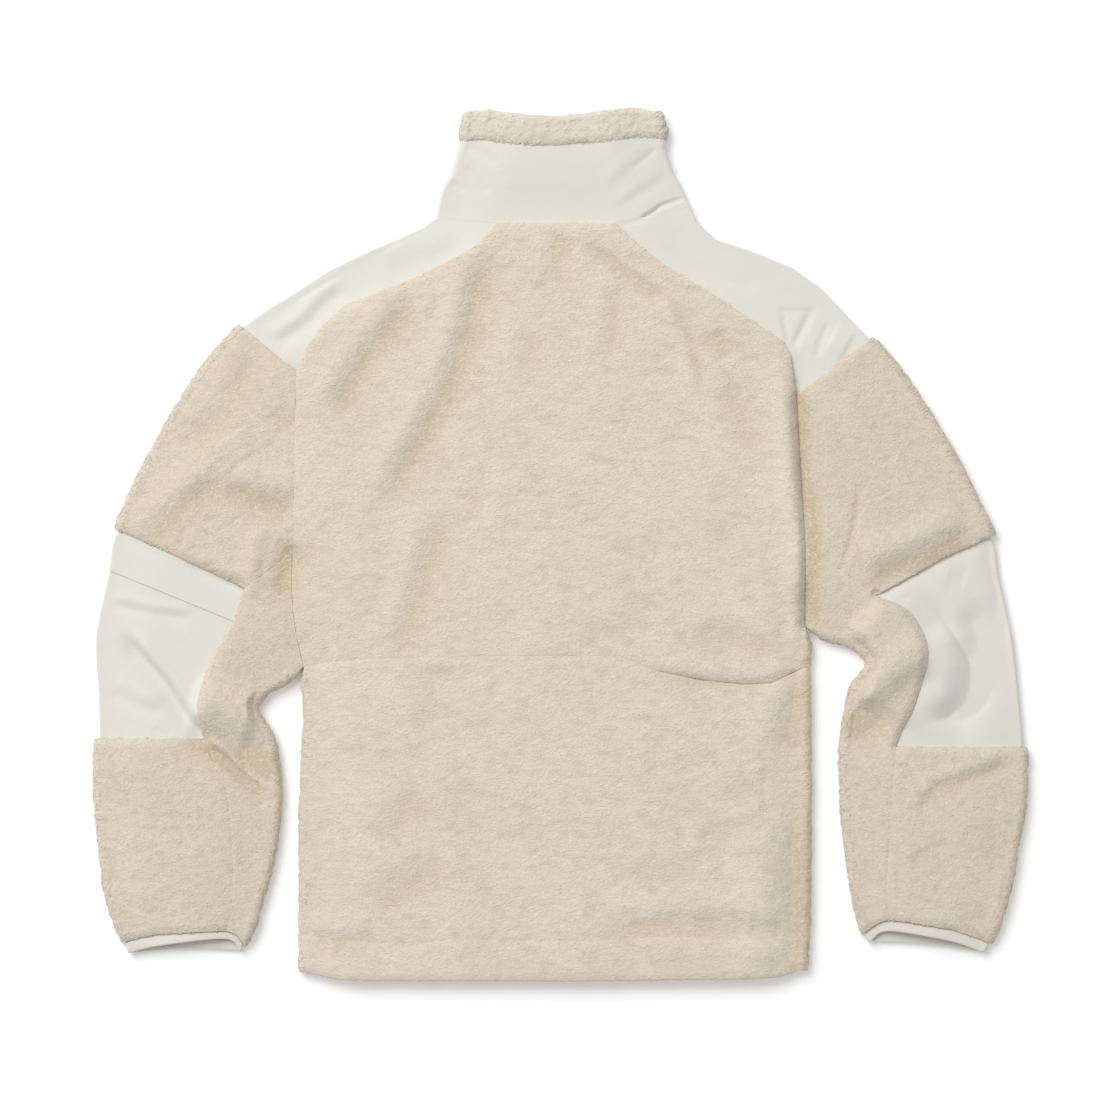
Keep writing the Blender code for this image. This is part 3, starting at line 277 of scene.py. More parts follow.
# Finer creases, in the cloth that shows: place, half widths, height, path
CREASES = (
    ("yoke pleat, inner", (2.2, 2.2), -1.2, ((205, 212), (208, 198), (211, 182))),
    ("yoke pleat, middle", (4.2, 3.2), -2.0, ((232, 216), (224, 200), (214, 180))),
    ("yoke pleat, outer", (2.6, 2.6), -1.1, ((248, 204), (240, 187), (235, 169))),
    ("yoke pleat ledge", (2, 7), -0.9, ((198, 215), (238, 215))),
    ("neck crease", (1.6, 1.8), -3.6, ((72, 298), (87, 306), (93, 311), (108, 316), (119, 320))),
    ("yoke by the neck", (2, 2), -0.6, ((54, 293), (73, 297), (90, 299))),
    ("elbow, left, crisp", (2.4, 2.8), -1.2, ((-398, -84), (-384, -102), (-371, -117), (-359, -132),
      (-345, -155), (-329, -174))),
    ("forearm, left", (3.2, 3.2), -2.4, ((-323, -182), (-305, -197), (-295, -208), (-283, -218),
      (-268, -230))),
    ("elbow, left, small", (4, 4), -0.7, ((-374, -169), (-357, -179))),
    ("wrist, left, outer", (6, 6), -0.7, ((-382, -337), (-358, -339))),
    ("wrist, left, inner", (6, 6), -0.7, ((-347, -334), (-323, -336))),
    ("arm, right", (3.6, 3.6), -1.5, ((276, 60), (273, 35), (270, 15), (266, 0), (261, -24))),
    ("patch, right, small", (3, 3), -0.7, ((298, -41), (322, -53))),
    ("elbow, right, crisp", (2, 3.4), -1.5, ((340, -52), (358, -75), (368, -92), (378, -108),
      (386, -126), (387, -143), (378, -153), (360, -159), (336, -164))),
    ("waist, right crease", (2.4, 2.4), -0.8, ((203, -104), (221, -109))),
    ("collar, left, upper", (4, 4), -0.8, ((-92, 366), (-74, 360), (-54, 349))),
    ("collar, left, middle", (3.6, 3.6), -0.9, ((-88, 348), (-76, 336), (-64, 321))),
    ("collar, left, arc", (2, 2.4), -0.9, ((-109, 331), (-103, 336), (-96, 332), (-86, 323))),
    ("collar, right, small", (2.4, 2.4), -0.6, ((66, 345), (80, 355), (90, 364))),
    ("undersleeve, left", (9, 9), 3.4, ((-276, 18), (-282, -18), (-284, -52))),
    ("band, right nick", (2, 2), -1.6, ((88, 374), (94, 374), (102, 369))),
)

# Sampling of the walls
FOLD_ANGLES = (45, 0, -45)
UP, DOWN = 90, -90
ARMHOLE_STEPS = {"left": (8, 4, 0), "right": (7, 3, 2)}     # above seam, below it, along the side
CREST_STEPS = 6         # across a sleeve, from its crest to the undersleeve's seam
CAP_STEPS = 3           # across a sleeve, from its crest to its outer fold
BACK_STEPS = 20
BACK_SHARPNESS = 3.0    # power of the share by which the neck line gives way to the back seam
FRONT_STEPS = 4
LOWER_STEPS = 8
BACK_SIDE = (45, 2)     # angles of the back round a side, down to the seam there
FRONT_SIDE = (-45, -2)  # and of the front, up to it
BESIDE_SEAM = 0.07      # columns of a sleeve beside the undersleeve's seam
BESIDE_ELBOW = 0.1      # rows of the elbow beside its seams
HEM_BEND = (1.17, 1.8)  # rows where the hem turns, between its stitching (1) and its edge (2)
EDGE_SHARE = 0.014      # of the body's width, for the columns beside its seams
EDGE_ROW = 0.3          # of a row, for the rows beside a seam
HEM_ROW = 0.03          # of the lower back's height, for the rows beside its seam and its stitching

# Grids of the fine walls: greatest steps along and across the cloth
BACK_GRID = (2.0, 2.4)
SLEEVE_GRID = (1.9, 1.9)
SHELL_GRID = (1.8, 1.8)
COLLAR_GRID = (1.4, 1.4)
BAND_GRID = (1.2, 1.6)
BINDING_GRID = (1.2, 2.4)
FRONT_GRID = (5.0, 5.0)
HIDDEN_STEP = 8.0       # on the underside
BACKING_STEP = 8.0      # on the inner face of the sherpa
STEP_SLACK = 0.05       # share of a step that isn't worth one more

# Pile
ROLL = 3.2              # how far from a seam the pile starts to curl down into it
ROLL_DEPTH = 0.7        # share of the pile that is gone at a deep seam itself
NUB_HEIGHT = 0.55       # curls of the pile
EDGE_NUB = 1.5          # and at the folded edges, where they stand out
NUB_ON_FLOOR = 0.15     # share of it on the underside, which the garment's weight presses flat
PRESS_REACH = 0.8       # from facing down (-1) towards up (1), where the curls are whole again
NUB_IN_SEAM = 0.4       # and where a seam draws the pile in
FLOOR_CLEAR = 0.1       # lowest point of the pile
PILES = {
    # width and height of a curl, its grain for each metre in the material, spacing of the loose
    # curls, and how far they stray from level, in radians
    "body": ((13.0, 7.0), (120, 260, 260), 4.5, 0.5),
    "arm": ((9.0, 6.5), (170, 240, 240), 3.7, 1.0),
    "band": ((6.0, 5.0), (180, 220, 220), 2.6, 1.4),
}
FURROW = 0.06           # half width of the furrows between the locks, as a share of their grain
DIP_DEPTH = 3.0         # of a hollow at which the pile's painted shade is full
# how far the painted shade in a hollow darkens the pile towards its deep colour
DIP_SHADE = 0.42
CURL_LENGTH = (3.5, 8.0)
CURL_WIDTH = (0.6, 1.2)
CURL_RISE = 0.45        # of the middle of a curl over the pile
CURL_SINK = 0.5         # of its ends into it
CURL_BEND = 0.3         # sideways, for each millimetre of its length
CURL_TIP = 0.35         # of its width that is left at its ends
CURL_DEPTH = 0.4        # of its width, from its ridge down to its two edges
EDGE_CURLS = 2.0        # times as many where the cloth turns round an edge
EDGE_RISE = 0.7         # and how far they stand out there
SPILL = 3.0             # how far the band's lowest curls hang over the shell
SPILL_CURLS = 9.0       # and how many more there are of them
SEAM_CURLS = 2.5        # more of them where the pile closes over a deep seam
BAND_NUB = 1.6          # the band's curls against those of the body


def lerp(start, end, share):
    share = np.asarray(share, float)[..., None]
    return np.asarray(start, float) * (1 - share) + np.asarray(end, float) * share


def mix(start, end, share):
    return start * (1 - share) + end * share


def span(start, end, steps):
    return [start + (end - start) * k / steps for k in range(steps + 1)]


def unit(vectors):
    size = np.linalg.norm(vectors, axis=-1, keepdims=True)
    return vectors / np.maximum(size, 1e-9)


def smooth(share):
    share = np.clip(share, 0.0, 1.0)
    return share * share * (3 - 2 * share)


def along_points(points, places):
    """Line through the points, which lie at these places."""
    points = np.asarray(points, float)
    return lambda at: np.stack([np.interp(at, places, points[:, k]) for k in (0, 1)], axis=-1)


def polyline(points):
    """Line through the points, by index."""
    return along_points(points, np.arange(len(points)))


def by_length(points):
    """Line through the points, by the share of its length."""
    steps = np.linalg.norm(np.diff(np.asarray(points, float), axis=0), axis=1)
    return along_points(points, np.concatenate(([0.0], np.cumsum(steps))) / steps.sum())


def curve(a, b, c, d, share):
    """Place on the Catmull-Rom curve from b to c, with a before them and d after."""
    share = share[..., None]
    bend = (2 * a - 5 * b + 4 * c - d) * share + (3 * b - a - 3 * c + d) * share * share
    return b + 0.5 * share * (c - a + bend)


def spline(points):
    """Curve through the points, by index."""
    points = np.asarray(points, float)
    last = len(points) - 1

    def at(place):
        place = np.asarray(place, float)
        i = np.minimum(place.astype(int), last - 1)
        return curve(*(points[np.clip(i + k, 0, last)] for k in (-1, 0, 1, 2)), place - i)

    return at


def nearest(places, path):
    """Distance from each place to the path, positive on its left, and the share of its length there."""
    path = np.asarray(path, float)
    step = np.diff(path, axis=0)
    size = np.linalg.norm(step, axis=1)
    passed = np.concatenate(([0.0], np.cumsum(size)))
    best = np.full(len(places), np.inf)
    along = np.zeros(len(places))
    left = np.ones(len(places))
    for k, (start, way, length) in enumerate(zip(path, step, size)):
        offset = places - start
        share = np.clip(offset @ way / length ** 2, 0.0, 1.0)
        distance = np.linalg.norm(offset - share[:, None] * way, axis=1)
        closer = distance < best
        best[closer] = distance[closer]
        along[closer] = (passed[k] + share * length)[closer]
        left[closer] = np.where(way[0] * offset[:, 1] > way[1] * offset[:, 0], 1.0, -1.0)[closer]
    return best * left, along / passed[-1]


def column(table, index):
    return [row[index] for row in table]


def sleeve(table, bow):
    """Plan of a sleeve: place s along it and c across it, on the upper or the lower layer.

    The upper layer has a kink at each corner of a section, which rounds off below the wrist.
    """
    lines = [spline(column(table, SLEEVE_COLUMNS.index(name))) for name in SLEEVE_COLUMNS[1:]]

    def plan(s, c, angle=UP):
        s, c, angle = np.broadcast_arrays(*(np.asarray(x, float) for x in (s, c, angle)))
        corners = np.stack([line(s) for line in lines])
        part = np.minimum(c.astype(int), INNER - 1)
        share = c - part
        near = [np.take_along_axis(corners, np.clip(part + k, OUTER, INNER)[None, ..., None], 0)[0]
                for k in (-1, 0, 1, 2)]
        xy = lerp(lerp(near[1], near[2], share), curve(*near, share), smooth(s - WRIST))
        swell = 4 * share * (1 - share) * bow * np.maximum(0.0, 1 - s / ELBOW_TOP)
        xy[..., 0] += np.where(part == SEAM, swell, 0.0)
        straight = lerp(corners[OUTER], corners[INNER], c / INNER)
        straight[..., 1] += UNDER_CUFF_BOW * np.clip(np.minimum(c, INNER - c), 0.0, 1.0)
        return lerp(xy, straight, np.where(angle == DOWN, smooth(s - WRIST), 0.0))

    def outward(s, c):
        """Direction in which the section runs over a folded edge."""
        inside = np.where(np.asarray(c) == OUTER, CREST, SEAM + 0.5)
        return unit(plan(s, c) - plan(s, inside))

    return plan, outward


def yoke(table):
    """Plan of a yoke: place s from the neck to the cap, c from the back seam to the shoulder."""
    seam, shoulder = polyline(column(table, 0)), polyline(column(table, 1))

    def plan(s, c, angle=UP):
        return lerp(seam(s), shoulder(s), c)

    def outward(s, c):
        return unit(shoulder(s) - seam(s))

    return plan, outward


def bulge(line, c):
    """How far a line is from straight."""
    return line(c) - lerp(line(0), line(1), c)


def patch(left, right, near, far, rows=1, sharpness=1.0):
    """Plan of a panel between two sides and two cross lines; s runs over rows, c over 0..1."""
    def plan(s, c, angle=UP):
        share = (np.asarray(s, float) / rows)[..., None] ** sharpness
        return lerp(left(s), right(s), c) + bulge(near, c) * (1 - share) + bulge(far, c) * share

    return plan


def joined(first, second, row):
    """Plan that follows one plan down to a row, and another from there."""
    def plan(s, c, angle=UP):
        s = np.asarray(s, float)
        return np.where((s <= row)[..., None], first(np.minimum(s, row), c),
                        second(np.maximum(s - row, 0), c))

    return plan


def sideways(s, c):
    """Direction in which a body panel runs over its folded sides."""
    side = np.where(np.asarray(c) < 0.5, -1.0, 1.0)
    return np.stack([side, np.zeros_like(side)], axis=-1)


def body_side(side, yoke_table, sleeve_plan, edge, seam_place):
    """Side of the back above its seam: along the yoke, down the armhole and on down the edge."""
    above, below, beside = ARMHOLE_STEPS[side]
    points = [np.array(row[0], float) for row in yoke_table]
    armhole = span(CREST, SEAM, above)[1:] + span(SEAM, INNER, below)[1:]
    points += [sleeve_plan(0, c) for c in armhole]
    start, end = np.array(edge[0], float), np.array(seam_place, float)
    points += [lerp(start, end, (k + 1) / beside) for k in range(beside)]
    return points


LEFT_SHAPE = sleeve(LEFT_SLEEVE, LEFT_ARMHOLE_BOW)
RIGHT_SHAPE = sleeve(RIGHT_SLEEVE, RIGHT_ARMHOLE_BOW)
LEFT_PLAN, RIGHT_PLAN = LEFT_SHAPE[0], RIGHT_SHAPE[0]
LEFT_BACK = body_side("left", LEFT_YOKE, LEFT_PLAN, LEFT_SIDE, BACK_SEAM[0])
RIGHT_BACK = body_side("right", RIGHT_YOKE, RIGHT_PLAN, RIGHT_SIDE, BACK_SEAM[-1])
BACK_ROWS = len(LEFT_BACK) - 1
LEFT_UNDERARM_ROW = BACK_ROWS
RIGHT_UNDERARM_ROW = BACK_ROWS - ARMHOLE_STEPS["right"][2]
NECK_LINE = (LEFT_YOKE[0][0], RIGHT_YOKE[0][0])

SLEEVE_ROWS = np.linspace(0, CUFF_EDGE, 40)
PATCH_ROWS = np.linspace(ELBOW_TOP, ELBOW_FOOT, 14)
SILHOUETTE = (
    *(plan(SLEEVE_ROWS, fold) for plan in (LEFT_PLAN, RIGHT_PLAN) for fold in (OUTER, INNER)),
    column(LEFT_YOKE, 1) + list(COLLAR_LEFT),
    column(RIGHT_YOKE, 1) + list(COLLAR_RIGHT),
    LEFT_SIDE,
    RIGHT_SIDE,
)
YOKE_ROWS = len(LEFT_YOKE)

# Seams of the pile, and how deeply each is drawn in
SEAMS = (
    (LEFT_BACK[:YOKE_ROWS], 0.2),
    (LEFT_BACK[YOKE_ROWS - 1:], 0.04),
    (RIGHT_BACK[:YOKE_ROWS], 0.2),
    (RIGHT_BACK[YOKE_ROWS - 1:RIGHT_UNDERARM_ROW + 1], 0.9),
    (NECK_LINE, 0.2),
    (BACK_SEAM[:3], 0.12),
    (BACK_SEAM[2:7], 0.04),
    (BACK_SEAM[6:], 0.2),
    (HEM, 0.3),
    (LEFT_PLAN(SLEEVE_ROWS, SEAM), 0.08),
    (RIGHT_PLAN(SLEEVE_ROWS, SEAM), 0.08),
    (LEFT_PLAN(PATCH_ROWS, SEAM), 0.25),
    (RIGHT_PLAN(PATCH_ROWS, SEAM), 0.9),
    (HEM_STITCH, 0.1),
) + tuple(
    (plan(s, np.array(cut)), depth)
    for plan, above_patch in ((LEFT_PLAN, 0.5), (RIGHT_PLAN, 0.25))
    for s, cut, depth in (
        (0, (OUTER, CREST), 0.2),
        (ELBOW_TOP, (OUTER, CREST, SEAM), above_patch),
        (ELBOW_FOOT, (OUTER, CREST, SEAM), 0.4),
        (CUFF_TOP, (OUTER, CREST, SEAM, INNER), 0.5),
    )
)


def beside(places, path, reach):
    """Which places lie in the box round the path."""
    path = np.asarray(path, float)
    return ((places > path.min(axis=0) - reach) & (places < path.max(axis=0) + reach)).all(axis=1)


def fade(along):
    """How much of a fold is left towards its ends."""
    return smooth(along / FOLD_RUNOUT) * smooth((1 - along) / FOLD_RUNOUT)


def relief(places, folds):
    """Height of the ridges and hollows, and of the tucks."""
    height = np.zeros(len(places))
    for _, widths, depth, path in folds:
        here = beside(places, path, FOLD_BOX * max(widths))
        away, along = nearest(places[here], path)
        width = np.where(away > 0, widths[0], widths[1])
        height[here] += depth * np.exp(-(away / width) ** 2) * fade(along)
    for _, width, drop, path in TUCKS:
        here = beside(places, path, FOLD_BOX * width)
        away, along = nearest(places[here], path)
        height[here] += DROP_TO_SLOPE * drop * away / width * np.exp(-(away / width) ** 2) * fade(along)
    return height


def lift(places, folds):
    """Height of the upper layer's backing over its flat place."""
    edge = np.min([np.abs(nearest(places, line)[0]) for line in SILHOUETTE], axis=0)
    height = CROWN * smooth(edge / CROWN_REACH) + relief(places, folds) * smooth(edge / FOLD_EDGE)
    return np.maximum(height, LOWEST_LIFT)


def pinch(places):
    """Share of the pile's height that is left beside the seams, where it rolls down into them."""
    left = np.ones(len(places))
    for line, depth in SEAMS:
        here = beside(places, line, SEAM_REACH)
        away = np.abs(nearest(places[here], line)[0])
        inside = 1 - np.clip(away / ROLL, 0.0, 1.0)
        roll = 1 - ROLL_DEPTH * depth * (1 - np.sqrt(1 - inside ** 2))
        drawn = 1 - SEAM_PINCH * depth * (1 - smooth(away / SEAM_REACH))
        left[here] = np.minimum(left[here], roll * drawn)
    return left


def flat_level(s):
    """Height of the lower backing, and the distance up to the upper one."""
    return SHERPA + 0 * s, LAYER_GAP + 0 * s


def collar_level(s):
    rise = smooth(s / COLLAR_RISE)
    return mix(SHERPA, COLLAR_BED, rise), mix(LAYER_GAP, COLLAR_GAP, rise)


def underarm_ease(places, gap):
    """Share of its reach that a folded edge keeps beside the underarm points."""
    room = np.minimum(*(np.linalg.norm(places - plan(0, INNER), axis=-1)
                        for plan in (LEFT_PLAN, RIGHT_PLAN)))
    return np.minimum(1.0, (UNDERARM_REACH + EASE * room) / (gap / 2 + SHERPA))


def wrap(shape, rows, columns, face, level=flat_level, folds=FOLDS):
    """One face of a cloth as a grid of points.

    shape is a plan and its outward direction, each column is a place across it and the angle
    to which the cloth has turned round a folded edge (UP on the upper layer, DOWN on the
    lower), and face gives its distance outside the backing from the row, the angle and the
    share of pile left by the seams.
    """
    plan, outward = shape
    s = np.asarray(rows, float)[:, None]
    c, angle = np.asarray(columns, float).T[:, None, :]
    c, angle = np.broadcast_arrays(c, angle)
    s, c, angle = np.broadcast_arrays(s, c, angle)
    base = plan(s, c, angle)
    flat = base.reshape(-1, 2)
    rise = lift(flat, folds).reshape(s.shape)
    left = pinch(flat).reshape(s.shape)
    bed, gap = level(s)
    turn = np.radians(angle)
    up = np.sin(turn)
    reach = gap / 2 + face(s, angle, mix(1.0, left, (1 + up) / 2))
    side = np.where(np.abs(angle) == UP, 0.0, np.cos(turn) * underarm_ease(base, gap))
    xy = base + outward(s, c) * (reach * side)[..., None]
    z = bed + gap / 2 + reach * up + rise * np.maximum(up, 0.0)
    return np.concatenate((xy, z[..., None]), axis=-1)


def even(distance):
    """Face at one distance outside the backing."""
    return lambda s, angle, left: distance + 0 * s


def sherpa(s, angle, left):
    return SHERPA * left


backing, shell = even(0.0), even(SHELL)


def draw_back(grid, step=SEWN_GAP / 2):
    """Move the four edges of a grid in, towards the next row or column."""
    grid = grid.copy()
    for view in (grid, grid[::-1], grid.swapaxes(0, 1), grid.swapaxes(0, 1)[::-1]):
        way = view[1] - view[0]
        way[:, 2] = 0.0
        size = np.linalg.norm(way, axis=1, keepdims=True)
        view[0] += way / np.maximum(size, step) * step
    return grid


def seam_rows(start, end, steps):
    """Rows from one seam to the next, with one more beside each seam."""
    rows = span(start, end, steps)
    return [rows[0], rows[0] + EDGE_ROW * (rows[1] - rows[0]), *rows[1:-1],
            rows[-1] - EDGE_ROW * (rows[-1] - rows[-2]), rows[-1]]


# ---------------------------------------------------------------- pile

class Noise:
    """Smooth noise in space, from about -1 to 1."""

    def __init__(self, seed):
        random = np.random.default_rng(seed)
        self.order = random.permutation(256)
        self.ways = unit(random.normal(size=(256, 3)))

    def __call__(self, points):
        cell = np.floor(points).astype(int)
        inside = points - cell
        fade = smooth(inside)
        total = np.zeros(points.shape[:-1])
        for corner in itertools.product((0, 1), repeat=3):
            key = 0
            for k in (0, 1, 2):
                key = self.order[(key + cell[..., k] + corner[k]) & 255]
            slope = ((inside - corner) * self.ways[key]).sum(-1)
            weight = np.where(np.array(corner) == 1, fade, 1 - fade).prod(-1)
            total += slope * weight
        return 1.6 * total


SWAY, CURLS, CRUMBS, CLUMPS = (Noise(seed) for seed in (11, 23, 37, 53))
SWAY_REACH = 0.5        # how far the curls are swayed, in curls
SWAY_GRAIN = 0.6        # of the sway, against the curls
SWAY_APART = (0, 31.7, 57.1)    # so that it differs on the three axes
CRUMB_GRAIN = 2.1
CLUMP_SIZE = 38.0
CREASE_START = 0.12     # depth under the mean where a crease between curls starts
NUB_WEIGHTS = (0.55, -0.9, 0.3, 0.35)   # of curls, creases, crumbs and clumps


def nubs(points, size):
    """Height of the pile's curls over its mean, from about -1 to 1, with curls of this size."""
    wide, tall = size
    at = points / np.array([wide, tall, tall])
    at = at + SWAY_REACH * np.stack([SWAY(at * SWAY_GRAIN + apart) for apart in SWAY_APART], axis=-1)
    curls = CURLS(at)
    creases = np.maximum(0.0, -curls - CREASE_START)
    parts = (curls, creases, CRUMBS(at * CRUMB_GRAIN), CLUMPS(points / CLUMP_SIZE))
    return sum(weight * part for weight, part in zip(NUB_WEIGHTS, parts))


def normals(grid, angle):
    """Outward direction at each point of a face."""
    along, across = np.gradient(grid, axis=0), np.gradient(grid, axis=1)
    way = unit(np.cross(across, along))
    up = np.sin(np.radians(angle))
    return way * (1 if (way[..., 2] * up).sum() > 0 else -1)


# ---------------------------------------------------------------- walls

def sizes(grid):
    """Mean steps along the rows and across the columns of a grid."""
    return [np.linalg.norm(np.diff(grid, axis=k), axis=-1).mean(axis=1 - k) for k in (0, 1)]


def refine(values, steps):
    """The values with steps[k] steps between the k-th and the next, and where the old ones are."""
    values = np.asarray(values, float)
    kept = np.concatenate(([0], np.cumsum(steps)))
    at = np.arange(kept[-1] + 1)
    if values.ndim == 1:
        return np.interp(at, kept, values), kept
    return np.stack([np.interp(at, kept, line) for line in values.T], axis=-1), kept


def greatest_steps(values, step):
    """The step allowed between rows, or between columns, where it is coarser on the underside."""
    values = np.asarray(values, float)
    if values.ndim == 1:
        return step
    hidden = (values[:-1, 1] == DOWN) & (values[1:, 1] == DOWN)
    return np.where(hidden, np.maximum(HIDDEN_STEP, step), step)


def grade(values, lengths, steps):
    """Rows or columns of the backing and then of the face, each with where those before it are."""
    graded = []
    for step in steps:
        allowed = greatest_steps(values, step)
        number = np.maximum(1, np.ceil(lengths / allowed - STEP_SLACK)).astype(int)
        values, kept = refine(values, number)
        lengths = np.repeat(lengths / number, number)
        graded += [values, kept]
    return graded


def finer_cells(cells, kept_rows, kept_columns):
    """The cells of a grid, on the finer grid that has it at the kept rows and columns."""
    return np.repeat(np.repeat(cells, np.diff(kept_rows), 0), np.diff(kept_columns), 1)


def cell_corners(grid):
    """The four corners of every cell of a grid, in turn."""
    return grid[:-1, :-1], grid[:-1, 1:], grid[1:, 1:], grid[1:, :-1]


def areas(grid):
    """Area of every cell of a grid."""
    a, b, c, d = cell_corners(grid)
    return np.linalg.norm(np.cross(c - a, d - b), axis=-1) / 2


def flat_size(grid):
    """Width, length and area of the cloth laid out flat, in metres."""
    across = np.linalg.norm(np.diff(grid, axis=1), axis=-1).sum(axis=1).max()
    along = np.linalg.norm(np.diff(grid, axis=0), axis=-1).sum(axis=0).max()
    return across * MM, along * MM, areas(grid).sum() * MM ** 2


def cloth(name, shape, rows, columns, face, steps, folds, pile, inner_face=backing,
          level=flat_level, loose=True, fluff=np.ones_like, cut=(), part_ends=None):
    """A closed wall between two faces, and the flat size of its cloth.

    rows and columns are the coarse ones of the CAD solid, steps the greatest steps along and
    across, and cut the coarse cells that are left out. A piled face has a coarser backing, fluff
    is how much its pile stands up in each row, and loose says whether loose curls show on it.
    """
    coarse = wrap(shape, rows, columns, backing, level)
    lengths = sizes(coarse)
    turns = np.abs(np.diff(np.asarray(columns, float)[:, 1]))
    lengths[1] = np.maximum(lengths[1], np.radians(turns) * SHERPA)
    along, across = zip((BACKING_STEP, BACKING_STEP) if pile else steps, steps)
    mid_rows, coarse_rows, fine_rows, kept_rows = grade(rows, lengths[0], along)
    mid_columns, coarse_columns, fine_columns, kept_columns = grade(columns, lengths[1], across)

    outer = wrap(shape, fine_rows, fine_columns, face, level, folds)
    inner = wrap(shape, mid_rows, mid_columns, inner_face, level, FOLDS if pile else folds)
    marks = {}
    if pile:
        angle = fine_columns[:, 1]
        up = np.sin(np.radians(angle))
        flat = outer[..., :2].reshape(-1, 2)
        curl = nubs(outer, PILES[pile][0])
        # how deep the relief sinks on the upper face, for the painted shade in the pile's hollows
        hollow_shade = -relief(flat, folds).reshape(curl.shape) / DIP_DEPTH
        marks = {"nub": curl, "hollow_shade": np.clip(hollow_shade, 0, 1) * np.clip(up, 0, 1)}
        room = pinch(flat).reshape(curl.shape)
        press = mix(NUB_ON_FLOOR, 1.0, smooth((up + 1) / PRESS_REACH))
        height = mix(EDGE_NUB, NUB_HEIGHT, np.abs(up))
        outer = outer + normals(outer, angle) * (height * curl * press * fluff(fine_rows)[:, None]
                                                 * mix(NUB_IN_SEAM, 1.0, room))[..., None]
        outer[..., 2] = np.maximum(outer[..., 2], FLOOR_CLEAR)
    if part_ends:
        inner, outer = part_ends(inner), part_ends(outer)
    inner, outer = draw_back(inner), draw_back(outer)

    open_cells = np.ones((len(rows) - 1, len(columns) - 1), bool)
    for i, j in cut:
        open_cells[i, j] = False
    mid_cells = finer_cells(open_cells, coarse_rows, coarse_columns)
    fine_cells = finer_cells(mid_cells, kept_rows, kept_columns)
    piece = wall_mesh(name, inner, outer, mid_cells, fine_cells, kept_rows, kept_columns, marks)
    if pile and loose:
        add_curls(f"{name}_curls", outer, fine_columns[:, 1], room, fine_cells, fluff(fine_rows), pile,
                  marks["hollow_shade"])
    return piece, flat_size(coarse)


def add_curls(name, outer, angle, room, cells, stands, pile, hollow_shade):
    """Loose curls over the upper face of a pile, as one mesh: each a low arched strip with a ridge."""
    _, _, spacing, stray = PILES[pile]
    random = np.random.default_rng(len(name) + cells.size)
    up = normals(outer, angle)
    turned = (angle[:-1] < UP) | (angle[1:] < UP)
    weight = cells * (np.minimum(angle[:-1], angle[1:]) >= 0) * np.where(turned, EDGE_CURLS, 1)
    weight = weight * (stands[:-1] > 0)[:, None] * (1 + SEAM_CURLS * (1 - room[1:, 1:]))
    weight = weight * np.where(stands[:-1] < stands.max(), SPILL_CURLS, 1.0)[:, None]
    weight = weight * areas(outer)
    number = int(weight.sum() / spacing ** 2)
    pick = random.choice(weight.size, number, p=weight.ravel() / weight.sum())
    i, j = np.unravel_index(pick, weight.shape)
    down, across = random.random((2, number, 1))

    def inside(grid):
        return mix(mix(grid[i, j], grid[i + 1, j], down),
                   mix(grid[i, j + 1], grid[i + 1, j + 1], down), across)

    place, out = inside(outer), unit(inside(up))
    lower = (stands[i] < stands.max())[:, None]
    place = place + unit(outer[i, j] - outer[i + 1, j]) * (lower * SPILL * random.random((number, 1)))
    level = unit(np.cross(np.array([0.0, 1.0, 0.0]), out))
    upright = np.cross(out, level)
    turn = random.normal(0.0, stray, (number, 1)) * (2 - room[i, j][:, None])
    way = level * np.cos(turn) + upright * np.sin(turn)
    side = np.cross(out, way)
    length = random.uniform(*CURL_LENGTH, (number, 1))
    width = random.uniform(*CURL_WIDTH, (number, 1))
    bend = random.uniform(-CURL_BEND, CURL_BEND, (number, 1)) * length
    rise = np.where(turned[j], EDGE_RISE, CURL_RISE)[:, None]
    stations = []
    for share in (0.0, 1 / 3, 2 / 3, 1.0):
        arch = math.sin(math.pi * share)
        middle = (place + way * (length * (share - 0.5)) + side * (bend * arch)
                  + out * (rise * arch - CURL_SINK * (1 - arch)))
        half = side * (width / 2 * (CURL_TIP + (1 - CURL_TIP) * arch))
        foot = out * (width * CURL_DEPTH)
        stations += [middle - half - foot, middle, middle + half - foot]
    points = np.stack(stations, axis=1)
    strip = [(k + row, k + row + 1, k + row + 4, k + row + 3) for k in (0, 3, 6) for row in (0, 1)]
    faces = (np.arange(number)[:, None, None] * points.shape[1] + np.array(strip)).reshape(-1, 4)
    marks = {"nub": np.repeat(random.uniform(0.2, 1.0, number), points.shape[1]),
             "hollow_shade": np.repeat(hollow_shade[i, j], points.shape[1])}
    piece = mesh_piece(name, points.reshape(-1, 3) * MM, faces.tolist(), marks)
    piece.data.materials.append(FINISHES[pile])
    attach(piece, "root")


def mesh_piece(name, points, faces, marks):
    """An object of a smooth mesh, with marks at each point: the pile's curls, and how deep it lies, for
    the painted shade in its hollows.
    """
    mesh = bpy.data.meshes.new(name)
    mesh.from_pydata(points.tolist(), [], faces)
    mesh.update()
    for mark, values in marks.items():
        mesh.attributes.new(mark, "FLOAT", "POINT").data.foreach_set("value", values.astype(np.float32))
    mesh.shade_smooth()
    piece = bpy.data.objects.new(name, mesh)
    bpy.context.scene.collection.objects.link(piece)
    return piece


